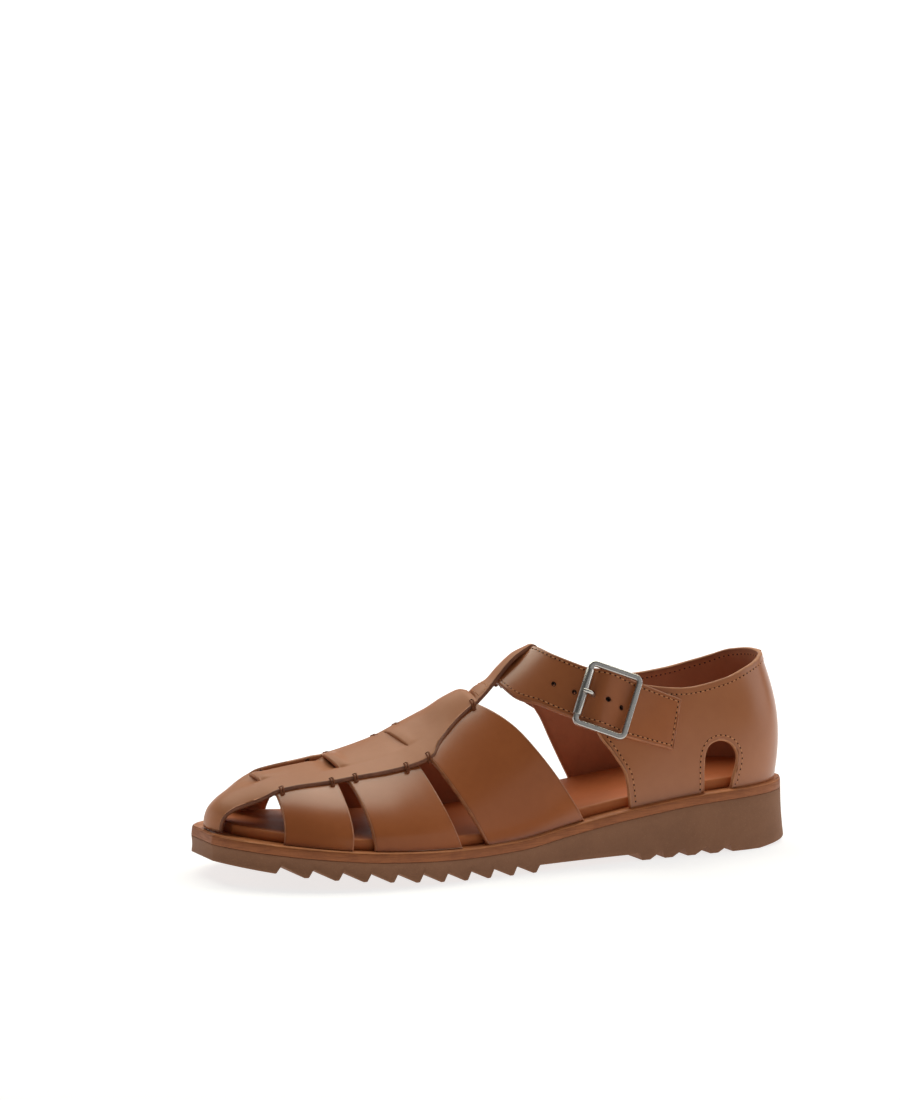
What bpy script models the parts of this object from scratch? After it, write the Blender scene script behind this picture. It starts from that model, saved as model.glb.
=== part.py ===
"""Fisherman sandal for the left foot, standing on its sole.

Frame: +X toe, +Y outer side of the foot, +Z up, floor at z = 0, origin below the middle of the sole.
The tables are in millimetres and drawn for one size. They are graded to the driving dimensions.
"""
import math
from collections import namedtuple

import bmesh
import bpy
import numpy as np
from mathutils import Matrix, Vector
from mathutils.geometry import interpolate_bezier

MM = 0.001

# Driving dimensions, in millimetres
SOLE_LENGTH = 291.0
BALL_WIDTH = 105.4
INSTEP_HEIGHT = 88.5
HEEL_HEIGHT = 25.7
MIDSOLE_THICKNESS = 4.0
INSOLE_THICKNESS = 4.5
LEATHER = 2.0
STRAP_LEATHER = 2.2
CLEARANCE = 0.3
SEAM = 0.4

# The size that the tables are drawn for, and the grading from it to the driving dimensions
DRAWN_LENGTH, DRAWN_WIDTH, DRAWN_INSTEP, DRAWN_HEEL = 291.0, 105.4, 88.5, 25.7
GRADE_LENGTH = SOLE_LENGTH / DRAWN_LENGTH
GRADE_WIDTH = BALL_WIDTH / DRAWN_WIDTH
GRADE_INSTEP = INSTEP_HEIGHT / DRAWN_INSTEP
GRADE_HEEL = HEEL_HEIGHT / DRAWN_HEEL

# Plan of the sole, from the back of the heel along the outer side to the toe and back
EdgePoint = namedtuple("EdgePoint", "along across")
SOLE_EDGE = [
    EdgePoint(-143.9, 0.0), EdgePoint(-135.4, 24.0), EdgePoint(-113.0, 35.5), EdgePoint(-71.0, 38.5),
    EdgePoint(-26.0, 42.0), EdgePoint(19.0, 48.0), EdgePoint(59.0, 52.7), EdgePoint(94.0, 48.5),
    EdgePoint(122.0, 34.5), EdgePoint(141.5, 11.0), EdgePoint(145.0, -12.0), EdgePoint(134.0, -33.0),
    EdgePoint(110.0, -47.5), EdgePoint(76.0, -52.7), EdgePoint(39.0, -47.0), EdgePoint(-1.0, -38.5),
    EdgePoint(-41.0, -35.0), EdgePoint(-81.0, -36.0), EdgePoint(-115.0, -35.5), EdgePoint(-136.3, -22.5),
]
EDGE_STEPS = 5

# Side view of the sole: tips of the tread and top of the rubber
SideRow = namedtuple("SideRow", "along tread rubber_top")
SOLE_SIDE = [
    SideRow(-146.0, 0.0, 25.7), SideRow(-100.0, 0.0, 24.3), SideRow(-50.0, 0.0, 19.6),
    SideRow(-17.0, 0.0, 15.0), SideRow(10.0, 0.0, 11.0), SideRow(35.0, 0.3, 10.1),
    SideRow(75.0, 2.6, 11.4), SideRow(111.0, 5.6, 14.3), SideRow(146.0, 10.5, 17.8),
]
SIDE_STEP = 6.0
SIDE_MARGIN = 2.0
PRISM_LEVELS = (-1.0, 3.0)
HEEL_FLARE = 1.8
HEEL_FLARE_START = -95.0
HEEL_FLARE_REACH = 40.0

# Tread
TOOTH_DEPTH = 4.0
TOOTH_STEEP = 2.0
FOREFOOT_FIRST_TIP = 123.4
FOREFOOT_PITCH = 12.17
FOREFOOT_TEETH = 11
FOREFOOT_TIP_FLAT = 1.6
ARCH_HEIGHT = 3.2
HEEL_FRONT = -54.0
HEEL_PITCH = 12.1
HEEL_TEETH = 4
HEEL_TIP_FLAT = 4.4
HEEL_STEEP = 1.2
HEEL_TOOTH_DEPTH = 3.6
HEEL_BEVEL_START = -119.0
HEEL_BEVEL_RISE = 3.5

# Last: ridge of the inner surface, and fullness of the section on either side of it
LastRow = namedtuple("LastRow", "along ridge_side ridge_height outer_fullness inner_fullness")
LAST = [
    LastRow(139.2, -5.0, 22.0, 1.8, 1.8), LastRow(138.9, -5.0, 26.0, 1.8, 1.8),
    LastRow(137.0, -5.0, 30.5, 1.7, 1.8), LastRow(130.0, -6.0, 36.0, 1.6, 1.9),
    LastRow(120.0, -7.0, 41.0, 1.55, 1.95), LastRow(110.0, -8.0, 43.8, 1.5, 2.0),
    LastRow(85.0, -10.0, 47.2, 1.5, 2.0), LastRow(60.0, -10.0, 53.0, 1.42, 2.0),
    LastRow(40.0, -10.5, 60.0, 1.38, 1.95), LastRow(20.0, -11.0, 69.0, 1.38, 1.9),
    LastRow(0.0, -12.0, 78.0, 1.42, 1.8), LastRow(-18.0, -12.5, 88.5, 1.52, 1.8),
    LastRow(-45.0, -7.0, 106.0, 1.8, 1.9), LastRow(-80.0, -1.0, 123.0, 2.0, 2.0),
    LastRow(-115.0, 0.0, 127.0, 2.0, 2.0),
]
FOOT_GAP = 0.5
FOOT_INSET = 5.0
FOOT_INSET_TOE = 8.0
TOE_INSET_START, TOE_INSET_REACH = 95.0, 45.0
FOOTBED_INSET = 2.5
TOE_OUTER_LIMIT = 28.0
TOE_INNER_LIMIT = -33.0
RIDGE_BACK = -90.0
RIDGE_BACK_REACH = 20.0
HEEL_BULGE = 2.6
HEEL_BULGE_START = -92.0
HEEL_BULGE_REACH = 40.0
HEEL_BULGE_TOP = 0.55
NORMAL_STEP, NORMAL_TURN = 0.2, 0.004

# Straps, from the inner foot line (turn -1) over the ridge (turn 0) to the outer foot line (turn 1)
BandRow = namedtuple("BandRow", "front front_turn rear rear_turn lift")
CROSS_STRAPS = {
    "toe_strap": [
        BandRow(123.0, -1.0, 97.0, -1.0, 0.0), BandRow(118.0, -0.5, 90.0, -0.5, 0.0),
        BandRow(113.0, 0.0, 83.5, 0.0, 0.0), BandRow(115.0, 0.5, 87.0, 0.5, 0.0),
        BandRow(118.5, 1.0, 91.5, 1.0, 0.0),
    ],
    "ball_strap": [
        BandRow(88.0, -1.0, 45.0, -1.0, 0.0), BandRow(84.0, -0.5, 48.0, -0.5, 0.0),
        BandRow(80.5, 0.0, 48.5, 0.0, 0.0), BandRow(81.0, 0.5, 45.5, 0.5, 0.0),
        BandRow(82.0, 1.0, 39.3, 1.0, 0.0),
    ],
    "instep_strap": [
        BandRow(33.0, -1.0, -18.0, -1.0, 0.0), BandRow(42.0, -0.5, 0.0, -0.5, 0.0),
        BandRow(45.5, 0.0, 14.5, 0.0, 0.0), BandRow(39.2, 0.5, -4.5, 0.5, 0.0),
        BandRow(25.5, 1.0, -26.5, 1.0, 0.0),
    ],
}
ON_QUARTER = LEATHER + CLEARANCE
OVER_CENTRE_BAR = 5.0
ANKLE_STRAP = [
    BandRow(-40.0, -0.70, -52.0, -0.58, LEATHER - SEAM), BandRow(-27.0, -0.56, -40.0, -0.45, LEATHER - SEAM),
    BandRow(-14.0, -0.36, -30.0, -0.27, 0.8), BandRow(-4.0, -0.06, -23.5, -0.03, 0.6),
    BandRow(-6.0, 0.22, -24.2, 0.10, 0.9), BandRow(-16.1, 0.404, -29.0, 0.261, ON_QUARTER),
    BandRow(-29.0, 0.567, -38.4, 0.413, ON_QUARTER), BandRow(-37.8, 0.652, -47.7, 0.505, OVER_CENTRE_BAR),
    BandRow(-47.2, 0.720, -57.2, 0.588, ON_QUARTER), BandRow(-60.4, 0.794, -68.7, 0.655, ON_QUARTER),
    BandRow(-72.7, 0.849, -78.5, 0.694, ON_QUARTER),
]

# Bar: its outer and inner edges, and its height above the last
BarRow = namedtuple("BarRow", "along outer inner lift")
BAR = [
    BarRow(-23.5, -10.0, -24.5, 2.1), BarRow(-16.0, -9.0, -24.0, 2.1), BarRow(-8.0, -7.2, -22.5, 2.1),
    BarRow(1.0, -4.2, -21.5, 1.8), BarRow(11.0, 0.0, -21.0, 1.4), BarRow(19.0, 2.8, -20.5, 1.4),
    BarRow(29.0, 8.2, -19.5, 1.4), BarRow(41.0, 15.5, -18.5, 1.4), BarRow(53.0, 17.0, -18.0, 1.4),
    BarRow(89.0, 14.7, -17.0, 1.4), BarRow(113.0, 12.0, -17.0, 1.4), BarRow(122.0, 10.2, -17.0, 0.6),
    BarRow(130.0, 7.6, -17.0, 0.0), BarRow(135.0, 5.2, -17.0, 0.0), BarRow(139.2, 2.8, -17.0, 0.0),
]
BAR_CROWDING = 1.6
TOE_ROUND = 0.025
TOE_ROUND_START, TOE_ROUND_REACH = 112.0, 20.0
FOLD_THICKNESS = 4.2
FOLD_LIFT = 1.9
FOLD_POINTS = 7
BAR_SLITS = [48.5, 82.5, 116.0]
SLIT_LENGTH = 20.0
SLIT_WIDTH = 1.0
SLIT_DEPTH = 12.0
SLIT_SIDE = -3.0
SLIT_CROWN = 1.0
CROWN_FALL = 34.0
CROWN_RISE = 4.0

# Closed heel: front edges by height, and the collar by distance from the back seam
FrontRow = namedtuple("FrontRow", "rise outer inner")
QUARTER_FRONT = [
    FrontRow(0.0, -50.2, -54.0), FrontRow(0.25, -48.8, -46.5), FrontRow(0.42, -45.3, -41.0),
    FrontRow(0.55, -41.6, -36.5), FrontRow(0.66, -37.6, -31.0), FrontRow(0.8, -38.5, -25.5),
    FrontRow(1.0, -46.0, -26.0),
]
CollarRow = namedtuple("CollarRow", "lap height")
COLLAR = [
    CollarRow(-125.0, 87.0), CollarRow(-105.0, 80.5), CollarRow(-75.0, 76.0), CollarRow(-55.0, 77.5),
    CollarRow(-36.0, 81.5), CollarRow(-18.0, 86.8), CollarRow(0.0, 88.5), CollarRow(18.0, 88.3),
    CollarRow(36.0, 84.5), CollarRow(55.0, 79.5), CollarRow(75.0, 76.8), CollarRow(95.0, 79.0),
    CollarRow(115.0, 84.5),
]
WINDOW_ALONG = -98.0
WINDOW_WIDTH = 15.5
WINDOW_TOP = 51.5
ARCH_POINTS = 9
TAB_START, TAB_END = -24.0, 5.0
TAB_LOW, TAB_TOP = 0.76, 0.985
TAB_ROUND = 0.11
TAB_THICKNESS = 1.5

# Buckle
BUCKLE_ALONG = -43.0
BUCKLE_TURN = 0.572
BUCKLE_ROWS = (6.2, 7.8)
BUCKLE_LENGTH = 26.0
BUCKLE_WIDTH = 32.0
BUCKLE_CORNER = 3.0
CORNER_POINTS = 4
WIRE = 2.6
FRAME_LIFT = 6.3
CENTRE_BAR = 2.3
CENTRE_BAR_LIFT = 3.5
ROLLER_OUTER = 4.0
ROLLER_BORE = 3.0
ROLLER_WIDTH = 22.5
PRONG = 1.8
PRONG_PLAY = 1.2
PRONG_ROUTE = [(-1.9, 3.5), (-4.0, 4.4), (-6.4, 6.6), (-9.2, 9.6), (-11.9, 9.8)]

# Faces of the leather sheets, along and across each
QUARTER_GRID = (44, 9)
ANKLE_GRID = (4, 40)
BAR_GRID = (40, 6)
STRAP_GRID = (5, 24)
TAB_GRID = (10, 4)

COLOURS = {
    "leather": ((0.33, 0.15, 0.075), 0.45, 0.0),
    "runner": ((0.26, 0.105, 0.05), 0.55, 0.0),
    "footbed": ((0.42, 0.165, 0.06), 0.6, 0.0),
    "rubber": ((0.15, 0.085, 0.055), 0.7, 0.0),
    "metal": ((0.42, 0.42, 0.41), 0.28, 1.0),
}


def clear_scene():
    for old in list(bpy.data.objects):
        bpy.data.objects.remove(old, do_unlink=True)


def new_collection(name):
    collection = bpy.data.collections.new(name)
    bpy.context.scene.collection.children.link(collection)
    return collection


def make_material(name):
    colour, roughness, metallic = COLOURS[name]
    material = bpy.data.materials.new(name)
    material.use_nodes = True
    shader = material.node_tree.nodes["Principled BSDF"]
    shader.inputs["Base Color"].default_value = (*colour, 1.0)
    shader.inputs["Roughness"].default_value = roughness
    shader.inputs["Metallic"].default_value = metallic
    material.diffuse_color = (*colour, 1.0)
    return material


def smooth(rows, place, value, at):
    """Value at a place, by a curve through a table's rows that never overshoots them."""
    ordered = sorted(rows, key=lambda row: getattr(row, place))
    places = np.array([getattr(row, place) for row in ordered])
    values = np.array([getattr(row, value) for row in ordered])
    steps = np.diff(places)
    slopes = np.diff(values) / steps
    turning = slopes[:-1] * slopes[1:] <= 0.0
    total = np.where(turning, 1.0, slopes[:-1] + slopes[1:])
    inner = np.where(turning, 0.0, 2.0 * slopes[:-1] * slopes[1:] / total)
    tangents = np.concatenate([slopes[:1], inner, slopes[-1:]])
    at = np.clip(at, places[0], places[-1])
    span = np.clip(np.searchsorted(places, at) - 1, 0, len(steps) - 1)
    step = steps[span]
    share = (at - places[span]) / step
    rest = 1.0 - share
    start = values[span] * (1.0 + 2.0 * share) + tangents[span] * step * share
    end = values[span + 1] * (3.0 - 2.0 * share) - tangents[span + 1] * step * rest
    return start * rest ** 2 + end * share ** 2


def ease(share):
    share = np.clip(share, 0.0, 1.0)
    return share * share * (3.0 - 2.0 * share)


def closed_curve(points):
    """Points of a smooth closed curve: each span is a Bezier whose handles follow its neighbours' chords."""
    curve = []
    count = len(points)
    for index, start in enumerate(points):
        before, end, after = points[index - 1], points[(index + 1) % count], points[(index + 2) % count]
        reach = (end - start).length / 3.0
        leave = start + (end - before).normalized() * reach
        arrive = end - (after - start).normalized() * reach
        curve += interpolate_bezier(start, leave, arrive, end, EDGE_STEPS + 1)[:-1]
    return np.array([point[:2] for point in curve])


def outward(line):
    chords = np.roll(line, -1, axis=0) - np.roll(line, 1, axis=0)
    sideways = np.stack([-chords[:, 1], chords[:, 0]], axis=1)
    return sideways / np.linalg.norm(sideways, axis=1)[:, None]


def rubber_top(along):
    return smooth(SOLE_SIDE, "along", "rubber_top", along / GRADE_LENGTH) * GRADE_HEEL


def tread_tips(along):
    return smooth(SOLE_SIDE, "along", "tread", along / GRADE_LENGTH)


def midsole_bottom(along):
    return rubber_top(along) + CLEARANCE


def midsole_top(along):
    return midsole_bottom(along) + MIDSOLE_THICKNESS


def insole_bottom(along):
    return midsole_top(along) + CLEARANCE


def insole_top(along):
    return insole_bottom(along) + INSOLE_THICKNESS


def foot_floor(along):
    """Height at which the upper stands, just clear of the midsole."""
    return midsole_top(along) + FOOT_GAP


def foot_inset(along):
    toe = ease((along / GRADE_LENGTH - TOE_INSET_START) / TOE_INSET_REACH)
    return FOOT_INSET + (FOOT_INSET_TOE - FOOT_INSET) * toe


SOLE_LINE = closed_curve([Vector((p.along * GRADE_LENGTH, p.across * GRADE_WIDTH, 0.0)) for p in SOLE_EDGE])
FOOT_LINE = SOLE_LINE - outward(SOLE_LINE) * foot_inset(SOLE_LINE[:, 0])[:, None]
TOE_INDEX = int(FOOT_LINE[:, 0].argmax())
OUTER_LINE = FOOT_LINE[:TOE_INDEX + 1]
INNER_LINE = np.vstack([FOOT_LINE[TOE_INDEX:], FOOT_LINE[:1]])[::-1]


def side_of_foot(along, outer):
    """Distance of the foot line from the centre line. The toe is square, as wide as the bar needs."""
    outer_side = np.interp(along, OUTER_LINE[:, 0], OUTER_LINE[:, 1])
    inner_side = np.interp(along, INNER_LINE[:, 0], INNER_LINE[:, 1])
    toe = along > 0.0
    outer_side = np.where(toe, np.maximum(outer_side, TOE_OUTER_LIMIT), outer_side)
    inner_side = np.where(toe, np.minimum(inner_side, TOE_INNER_LIMIT), inner_side)
    return np.where(outer, outer_side, inner_side)


def ridge(along):
    """Ridge of the last for a place on the foot line. At the back many places share one short ridge."""
    past = np.maximum(RIDGE_BACK - along / GRADE_LENGTH, 0.0)
    drawn = along / GRADE_LENGTH + past - RIDGE_BACK_REACH * np.tanh(past / RIDGE_BACK_REACH)
    side = smooth(LAST, "along", "ridge_side", drawn) * GRADE_WIDTH
    height = smooth(LAST, "along", "ridge_height", drawn) * GRADE_INSTEP
    return drawn * GRADE_LENGTH, side, height


def fullness(along, outer):
    drawn = along / GRADE_LENGTH
    outer_side = smooth(LAST, "along", "outer_fullness", drawn)
    inner_side = smooth(LAST, "along", "inner_fullness", drawn)
    return np.where(outer, outer_side, inner_side)


def last_point(foot_x, foot_y, turn):
    """Point of the last between the foot line (turn 1) and the ridge (turn 0)."""
    ridge_x, ridge_y, ridge_z = ridge(foot_x)
    power = 2.0 / fullness(foot_x, foot_y > ridge_y)
    angle = np.clip(np.abs(turn), 0.0, 1.0) * math.pi / 2.0
    out = np.sin(angle) ** power
    up = np.clip(np.cos(angle), 0.0, 1.0) ** power
    reach = np.stack([foot_x - ridge_x, foot_y - ridge_y], axis=-1)
    bulge = HEEL_BULGE * ease((HEEL_BULGE_START - foot_x / GRADE_LENGTH) / HEEL_BULGE_REACH)
    bulge = bulge * np.sin(math.pi * np.clip(up / HEEL_BULGE_TOP, 0.0, 1.0))
    out = out + bulge / np.linalg.norm(reach, axis=-1)
    floor = foot_floor(foot_x)
    return np.stack([ridge_x + reach[..., 0] * out, ridge_y + reach[..., 1] * out,
                     floor + (ridge_z - floor) * up], axis=-1)


def section_point(along, turn):
    """Point of the last on a cross section. Positive turns are on the outer side."""
    return last_point(along, side_of_foot(along, turn >= 0.0), turn)


def turn_at_side(along, side):
    """Turn at which a cross section is a given distance from the centre line."""
    _, ridge_y, _ = ridge(along)
    outer = side >= ridge_y
    share = np.clip((side - ridge_y) / (side_of_foot(along, outer) - ridge_y), 0.0, 1.0)
    turn = np.arcsin(share ** (fullness(along, outer) / 2.0)) * 2.0 / math.pi
    return np.where(outer, turn, -turn)


def turn_at_height(foot_x, foot_y, height):
    _, ridge_y, ridge_z = ridge(foot_x)
    floor = foot_floor(foot_x)
    share = np.clip((height - floor) / (ridge_z - floor), 0.0, 1.0)
    return np.arccos(share ** (fullness(foot_x, foot_y > ridge_y) / 2.0)) * 2.0 / math.pi


LAP_STEPS = np.linalg.norm(np.diff(np.vstack([FOOT_LINE, FOOT_LINE[:1]]), axis=0), axis=1)
LAPS = np.concatenate([[0.0], np.cumsum(LAP_STEPS)])


def foot_at_lap(lap):
    """Point of the foot line at a distance from the back seam, positive along the outer side."""
    place = np.mod(lap, LAPS[-1])
    line = np.vstack([FOOT_LINE, FOOT_LINE[:1]])
    return np.interp(place, LAPS, line[:, 0]), np.interp(place, LAPS, line[:, 1])


def lap_at(along, outer):
    """Distance from the back seam to a place along the outer or inner side."""
    if outer:
        return np.interp(along, OUTER_LINE[:, 0], LAPS[:TOE_INDEX + 1])
    inner_laps = LAPS[-1] - LAPS[TOE_INDEX:][::-1]
    return -np.interp(along, INNER_LINE[:, 0], inner_laps)


def quarter_point(lap_share, rise):
    """Point of the closed heel, from its outer to its inner front edge and from foot to collar."""
    outer_front = smooth(QUARTER_FRONT, "rise", "outer", rise) * GRADE_LENGTH
    inner_front = smooth(QUARTER_FRONT, "rise", "inner", rise) * GRADE_LENGTH
    outer_lap, inner_lap = lap_at(outer_front, True), lap_at(inner_front, False)
    lap = outer_lap + (inner_lap - outer_lap) * lap_share
    return heel_point(lap, rise)


def heel_point(lap, rise):
    foot_x, foot_y = foot_at_lap(lap)
    floor = foot_floor(foot_x)
    collar = smooth(COLLAR, "lap", "height", lap / GRADE_LENGTH) * GRADE_INSTEP
    turn = turn_at_height(foot_x, foot_y, floor + (collar - floor) * np.clip(rise, 0.0, 1.0))
    return last_point(foot_x, foot_y, turn)


def normal_on(surface, first, second, first_step, second_step):
    across = surface(first + first_step, second) - surface(first - first_step, second)
    upward = surface(first, second + second_step) - surface(first, second - second_step)
    normal = np.cross(across, upward)
    return normal / np.linalg.norm(normal, axis=-1)[..., None]


def above_last(along, turn, lift):
    normal = normal_on(section_point, along, turn, NORMAL_STEP, NORMAL_TURN)
    return section_point(along, turn) + normal * np.asarray(lift)[..., None]


def curve_through(values, share):
    """Smooth curve through evenly spaced values, at shares from 0 to 1."""
    values = np.asarray(values)
    place = np.clip(share, 0.0, 1.0) * (len(values) - 1)
    span = np.clip(place.astype(int), 0, len(values) - 2)
    rest = place - span
    padded = np.concatenate([[2.0 * values[0] - values[1]], values, [2.0 * values[-1] - values[-2]]])
    before, start, end, after = (padded[span + offset] for offset in range(4))
    return start + 0.5 * rest * (end - before + rest * (
        2.0 * before - 5.0 * start + 4.0 * end - after + rest * (3.0 * (start - end) + after - before)))


def band_surface(rows):
    """Surface of a strap: across from its rear to its front edge, and along its rows."""
    def surface(across, along):
        front = curve_through([row.front * GRADE_LENGTH for row in rows], along)
        rear = curve_through([row.rear * GRADE_LENGTH for row in rows], along)
        front_turn = curve_through([row.front_turn for row in rows], along)
        rear_turn = curve_through([row.rear_turn for row in rows], along)
        lift = curve_through([row.lift for row in rows], along)
        return above_last(rear + (front - rear) * across, rear_turn + (front_turn - rear_turn) * across, lift)
    return surface


def bar_crown(along):
    """Rise of the bar's middle: it climbs towards each slit from behind and drops in front of it."""
    crown = np.zeros_like(along)
    for slit in BAR_SLITS:
        behind = slit * GRADE_LENGTH - along
        rise = ease(1.0 - behind / CROWN_FALL) * ease(behind / CROWN_RISE + 0.5)
        crown = np.maximum(crown, SLIT_CROWN * rise)
    return crown


def bar_surface(share, across):
    """Surface of the bar from the loop to the toe, and from its inner to its outer edge."""
    stations = np.array([row.along for row in BAR])
    drawn = stations[-1] - (stations[-1] - stations[0]) * np.clip(1.0 - share, 0.0, 1.0) ** BAR_CROWDING
    along = drawn * GRADE_LENGTH
    outer = smooth(BAR, "along", "outer", drawn) * GRADE_WIDTH
    inner = smooth(BAR, "along", "inner", drawn) * GRADE_WIDTH
    side = inner + (outer - inner) * across
    lift = smooth(BAR, "along", "lift", drawn)
    lift = lift + bar_crown(along) * (1.0 - (2.0 * across - 1.0) ** 2)
    points = above_last(along, turn_at_side(along, side), lift)
    _, middle, _ = ridge(along)
    points[:, 0] -= TOE_ROUND * (side - middle) ** 2 * ease((drawn - TOE_ROUND_START) / TOE_ROUND_REACH)
    return points


def loop_fold(cutters):
    """Folded end of the bar behind the ankle strap, as a round edge."""
    end = BAR[0]
    along = np.full(FOLD_POINTS, end.along * GRADE_LENGTH)
    sides = np.linspace(end.inner + SEAM, end.outer - SEAM, FOLD_POINTS) * GRADE_WIDTH
    points = above_last(along, turn_at_side(along, sides), np.full(FOLD_POINTS, FOLD_LIFT))
    return as_cutter(link(placed_tube("loop_fold", points, FOLD_THICKNESS, Matrix.Identity(4)), cutters))


def link(obj, collection, material=None):
    collection.objects.link(obj)
    if material:
        obj.data.materials.append(material)
    return obj


def as_cutter(obj):
    obj.hide_render = True
    obj.display_type = "WIRE"
    return obj


def leather_sheet(name, surface, steps, thickness):
    """Sheet of leather: a grid laid on a surface of two shares, thickened outwards."""
    sheet = bmesh.new()
    bmesh.ops.create_grid(sheet, x_segments=steps[0], y_segments=steps[1], size=0.5)
    shares = np.array([vert.co[:2] for vert in sheet.verts]) + 0.5
    for vert, point in zip(sheet.verts, surface(shares[:, 0], shares[:, 1])):
        vert.co = Vector(point) * MM
    mesh = bpy.data.meshes.new(name)
    sheet.to_mesh(mesh)
    sheet.free()
    obj = bpy.data.objects.new(name, mesh)
    solidify = obj.modifiers.new("thickness", "SOLIDIFY")
    solidify.thickness = thickness * MM
    solidify.offset = 1.0
    solidify.use_even_offset = True
    return obj


def mesh_of_curve(obj):
    """Mesh object with the same place as a curve object, which it replaces."""
    bpy.context.scene.collection.objects.link(obj)
    bpy.context.view_layer.update()
    graph = bpy.context.evaluated_depsgraph_get()
    mesh = bpy.data.meshes.new_from_object(obj.evaluated_get(graph))
    place = obj.matrix_world.copy()
    name = obj.name
    bpy.data.objects.remove(obj, do_unlink=True)
    tidy = bmesh.new()
    tidy.from_mesh(mesh)
    bmesh.ops.remove_doubles(tidy, verts=tidy.verts, dist=0.00001)
    bmesh.ops.recalc_face_normals(tidy, faces=tidy.faces)
    tidy.to_mesh(mesh)
    tidy.free()
    solid = bpy.data.objects.new(name, mesh)
    solid.matrix_world = place
    return solid


def outline_plate(name, outline, thickness):
    """Flat plate with a given outline in its own XY plane, centred on that plane."""
    curve = bpy.data.curves.new(name, "CURVE")
    curve.dimensions = "2D"
    curve.fill_mode = "BOTH"
    curve.extrude = thickness * MM / 2.0
    spline = curve.splines.new("POLY")
    spline.points.add(len(outline) - 1)
    for point, (x, y) in zip(spline.points, outline):
        point.co = (x * MM, y * MM, 0.0, 1.0)
    spline.use_cyclic_u = True
    return bpy.data.objects.new(name, curve)


def boolean(obj, operation, other):
    modifier = obj.modifiers.new(other.name, "BOOLEAN")
    modifier.operation = operation
    modifier.solver = "EXACT"
    modifier.object = other


def side_stations():
    half = SOLE_LENGTH / 2.0 + SIDE_MARGIN
    return np.linspace(-half, half, int(2.0 * half / SIDE_STEP) + 1)


def tread_profile():
    """Underside of the sole from the toe to the back, as (along, height) corners."""
    toe = SOLE_LENGTH / 2.0 + SIDE_MARGIN
    first_tip = FOREFOOT_FIRST_TIP * GRADE_LENGTH
    corners = [(x, float(tread_tips(x))) for x in np.linspace(toe, first_tip, 4)]
    for tooth in range(FOREFOOT_TEETH):
        tip = first_tip - tooth * FOREFOOT_PITCH * GRADE_LENGTH
        root = tip - TOOTH_STEEP
        if tooth:
            corners += [(tip + FOREFOOT_TIP_FLAT, float(tread_tips(tip))), (tip, float(tread_tips(tip)))]
        last_tooth = tooth == FOREFOOT_TEETH - 1
        rise = ARCH_HEIGHT if last_tooth else float(tread_tips(root)) + TOOTH_DEPTH
        corners.append((root, rise))
    front = HEEL_FRONT * GRADE_LENGTH
    corners.append((front, ARCH_HEIGHT))
    for tooth in range(HEEL_TEETH):
        start = front - HEEL_STEEP - tooth * HEEL_PITCH
        corners += [(start, 0.0), (start - HEEL_TIP_FLAT, 0.0),
                    (start - HEEL_PITCH + HEEL_STEEP, HEEL_TOOTH_DEPTH)]
    corners.append((front - HEEL_STEEP - HEEL_TEETH * HEEL_PITCH, 0.0))
    back = -SOLE_LENGTH / 2.0
    corners += [(HEEL_BEVEL_START * GRADE_LENGTH, 0.0), (back - SIDE_MARGIN, HEEL_BEVEL_RISE)]
    return corners


def plan_prism(name, line, flare):
    """Tall prism over a plan outline, whose back leans out towards the floor."""
    back = ease((HEEL_FLARE_START - line[:, 0] / GRADE_LENGTH) / HEEL_FLARE_REACH)
    lean = outward(line) * (flare * back)[:, None]
    prism = bmesh.new()
    rings = []
    for level in PRISM_LEVELS:
        ring = line + lean * (1.0 - level)
        rings.append([prism.verts.new((x * MM, y * MM, level * HEEL_HEIGHT * MM)) for x, y in ring])
        prism.faces.new(rings[-1])
    low, high = rings
    for index in range(len(line)):
        prism.faces.new((low[index - 1], low[index], high[index], high[index - 1]))
    bmesh.ops.recalc_face_normals(prism, faces=prism.faces)
    mesh = bpy.data.meshes.new(name)
    prism.to_mesh(mesh)
    prism.free()
    return bpy.data.objects.new(name, mesh)


def sole_layer(name, line, profile, collection, cutters, material, flare=0.0):
    """Layer of the sole: what a plan outline and a side profile have in common."""
    plan = link(plan_prism(name, line, flare), collection, material)
    side_curve = outline_plate(name + "_side", profile, 2.0 * BALL_WIDTH)
    side_curve.rotation_euler.x = math.pi / 2.0
    side = as_cutter(link(mesh_of_curve(side_curve), cutters))
    boolean(plan, "INTERSECT", side)
    return plan


def layer_profile(low, high):
    stations = side_stations()
    upper_edge = [(x, float(high(x))) for x in stations]
    lower_edge = [(x, float(low(x))) for x in stations[::-1]]
    return upper_edge + lower_edge


def build_sole(collection, cutters, materials):
    top = [(x, float(rubber_top(x))) for x in side_stations()]
    sole_layer("outsole", SOLE_LINE, top + tread_profile(), collection, cutters,
               materials["rubber"], HEEL_FLARE)
    sole_layer("midsole", SOLE_LINE, layer_profile(midsole_bottom, midsole_top), collection, cutters,
               materials["runner"])
    footbed = FOOT_LINE - outward(FOOT_LINE) * FOOTBED_INSET
    sole_layer("insole", footbed, layer_profile(insole_bottom, insole_top), collection, cutters,
               materials["footbed"])


def window_outline():
    """Arched window of the closed heel, in side view."""
    half = WINDOW_WIDTH / 2.0
    spring = WINDOW_TOP * GRADE_INSTEP - half
    arch = [(half * math.cos(a), spring + half * math.sin(a)) for a in np.linspace(0.0, math.pi, ARCH_POINTS)]
    return [(-half, 0.0), (half, 0.0)] + arch


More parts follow.
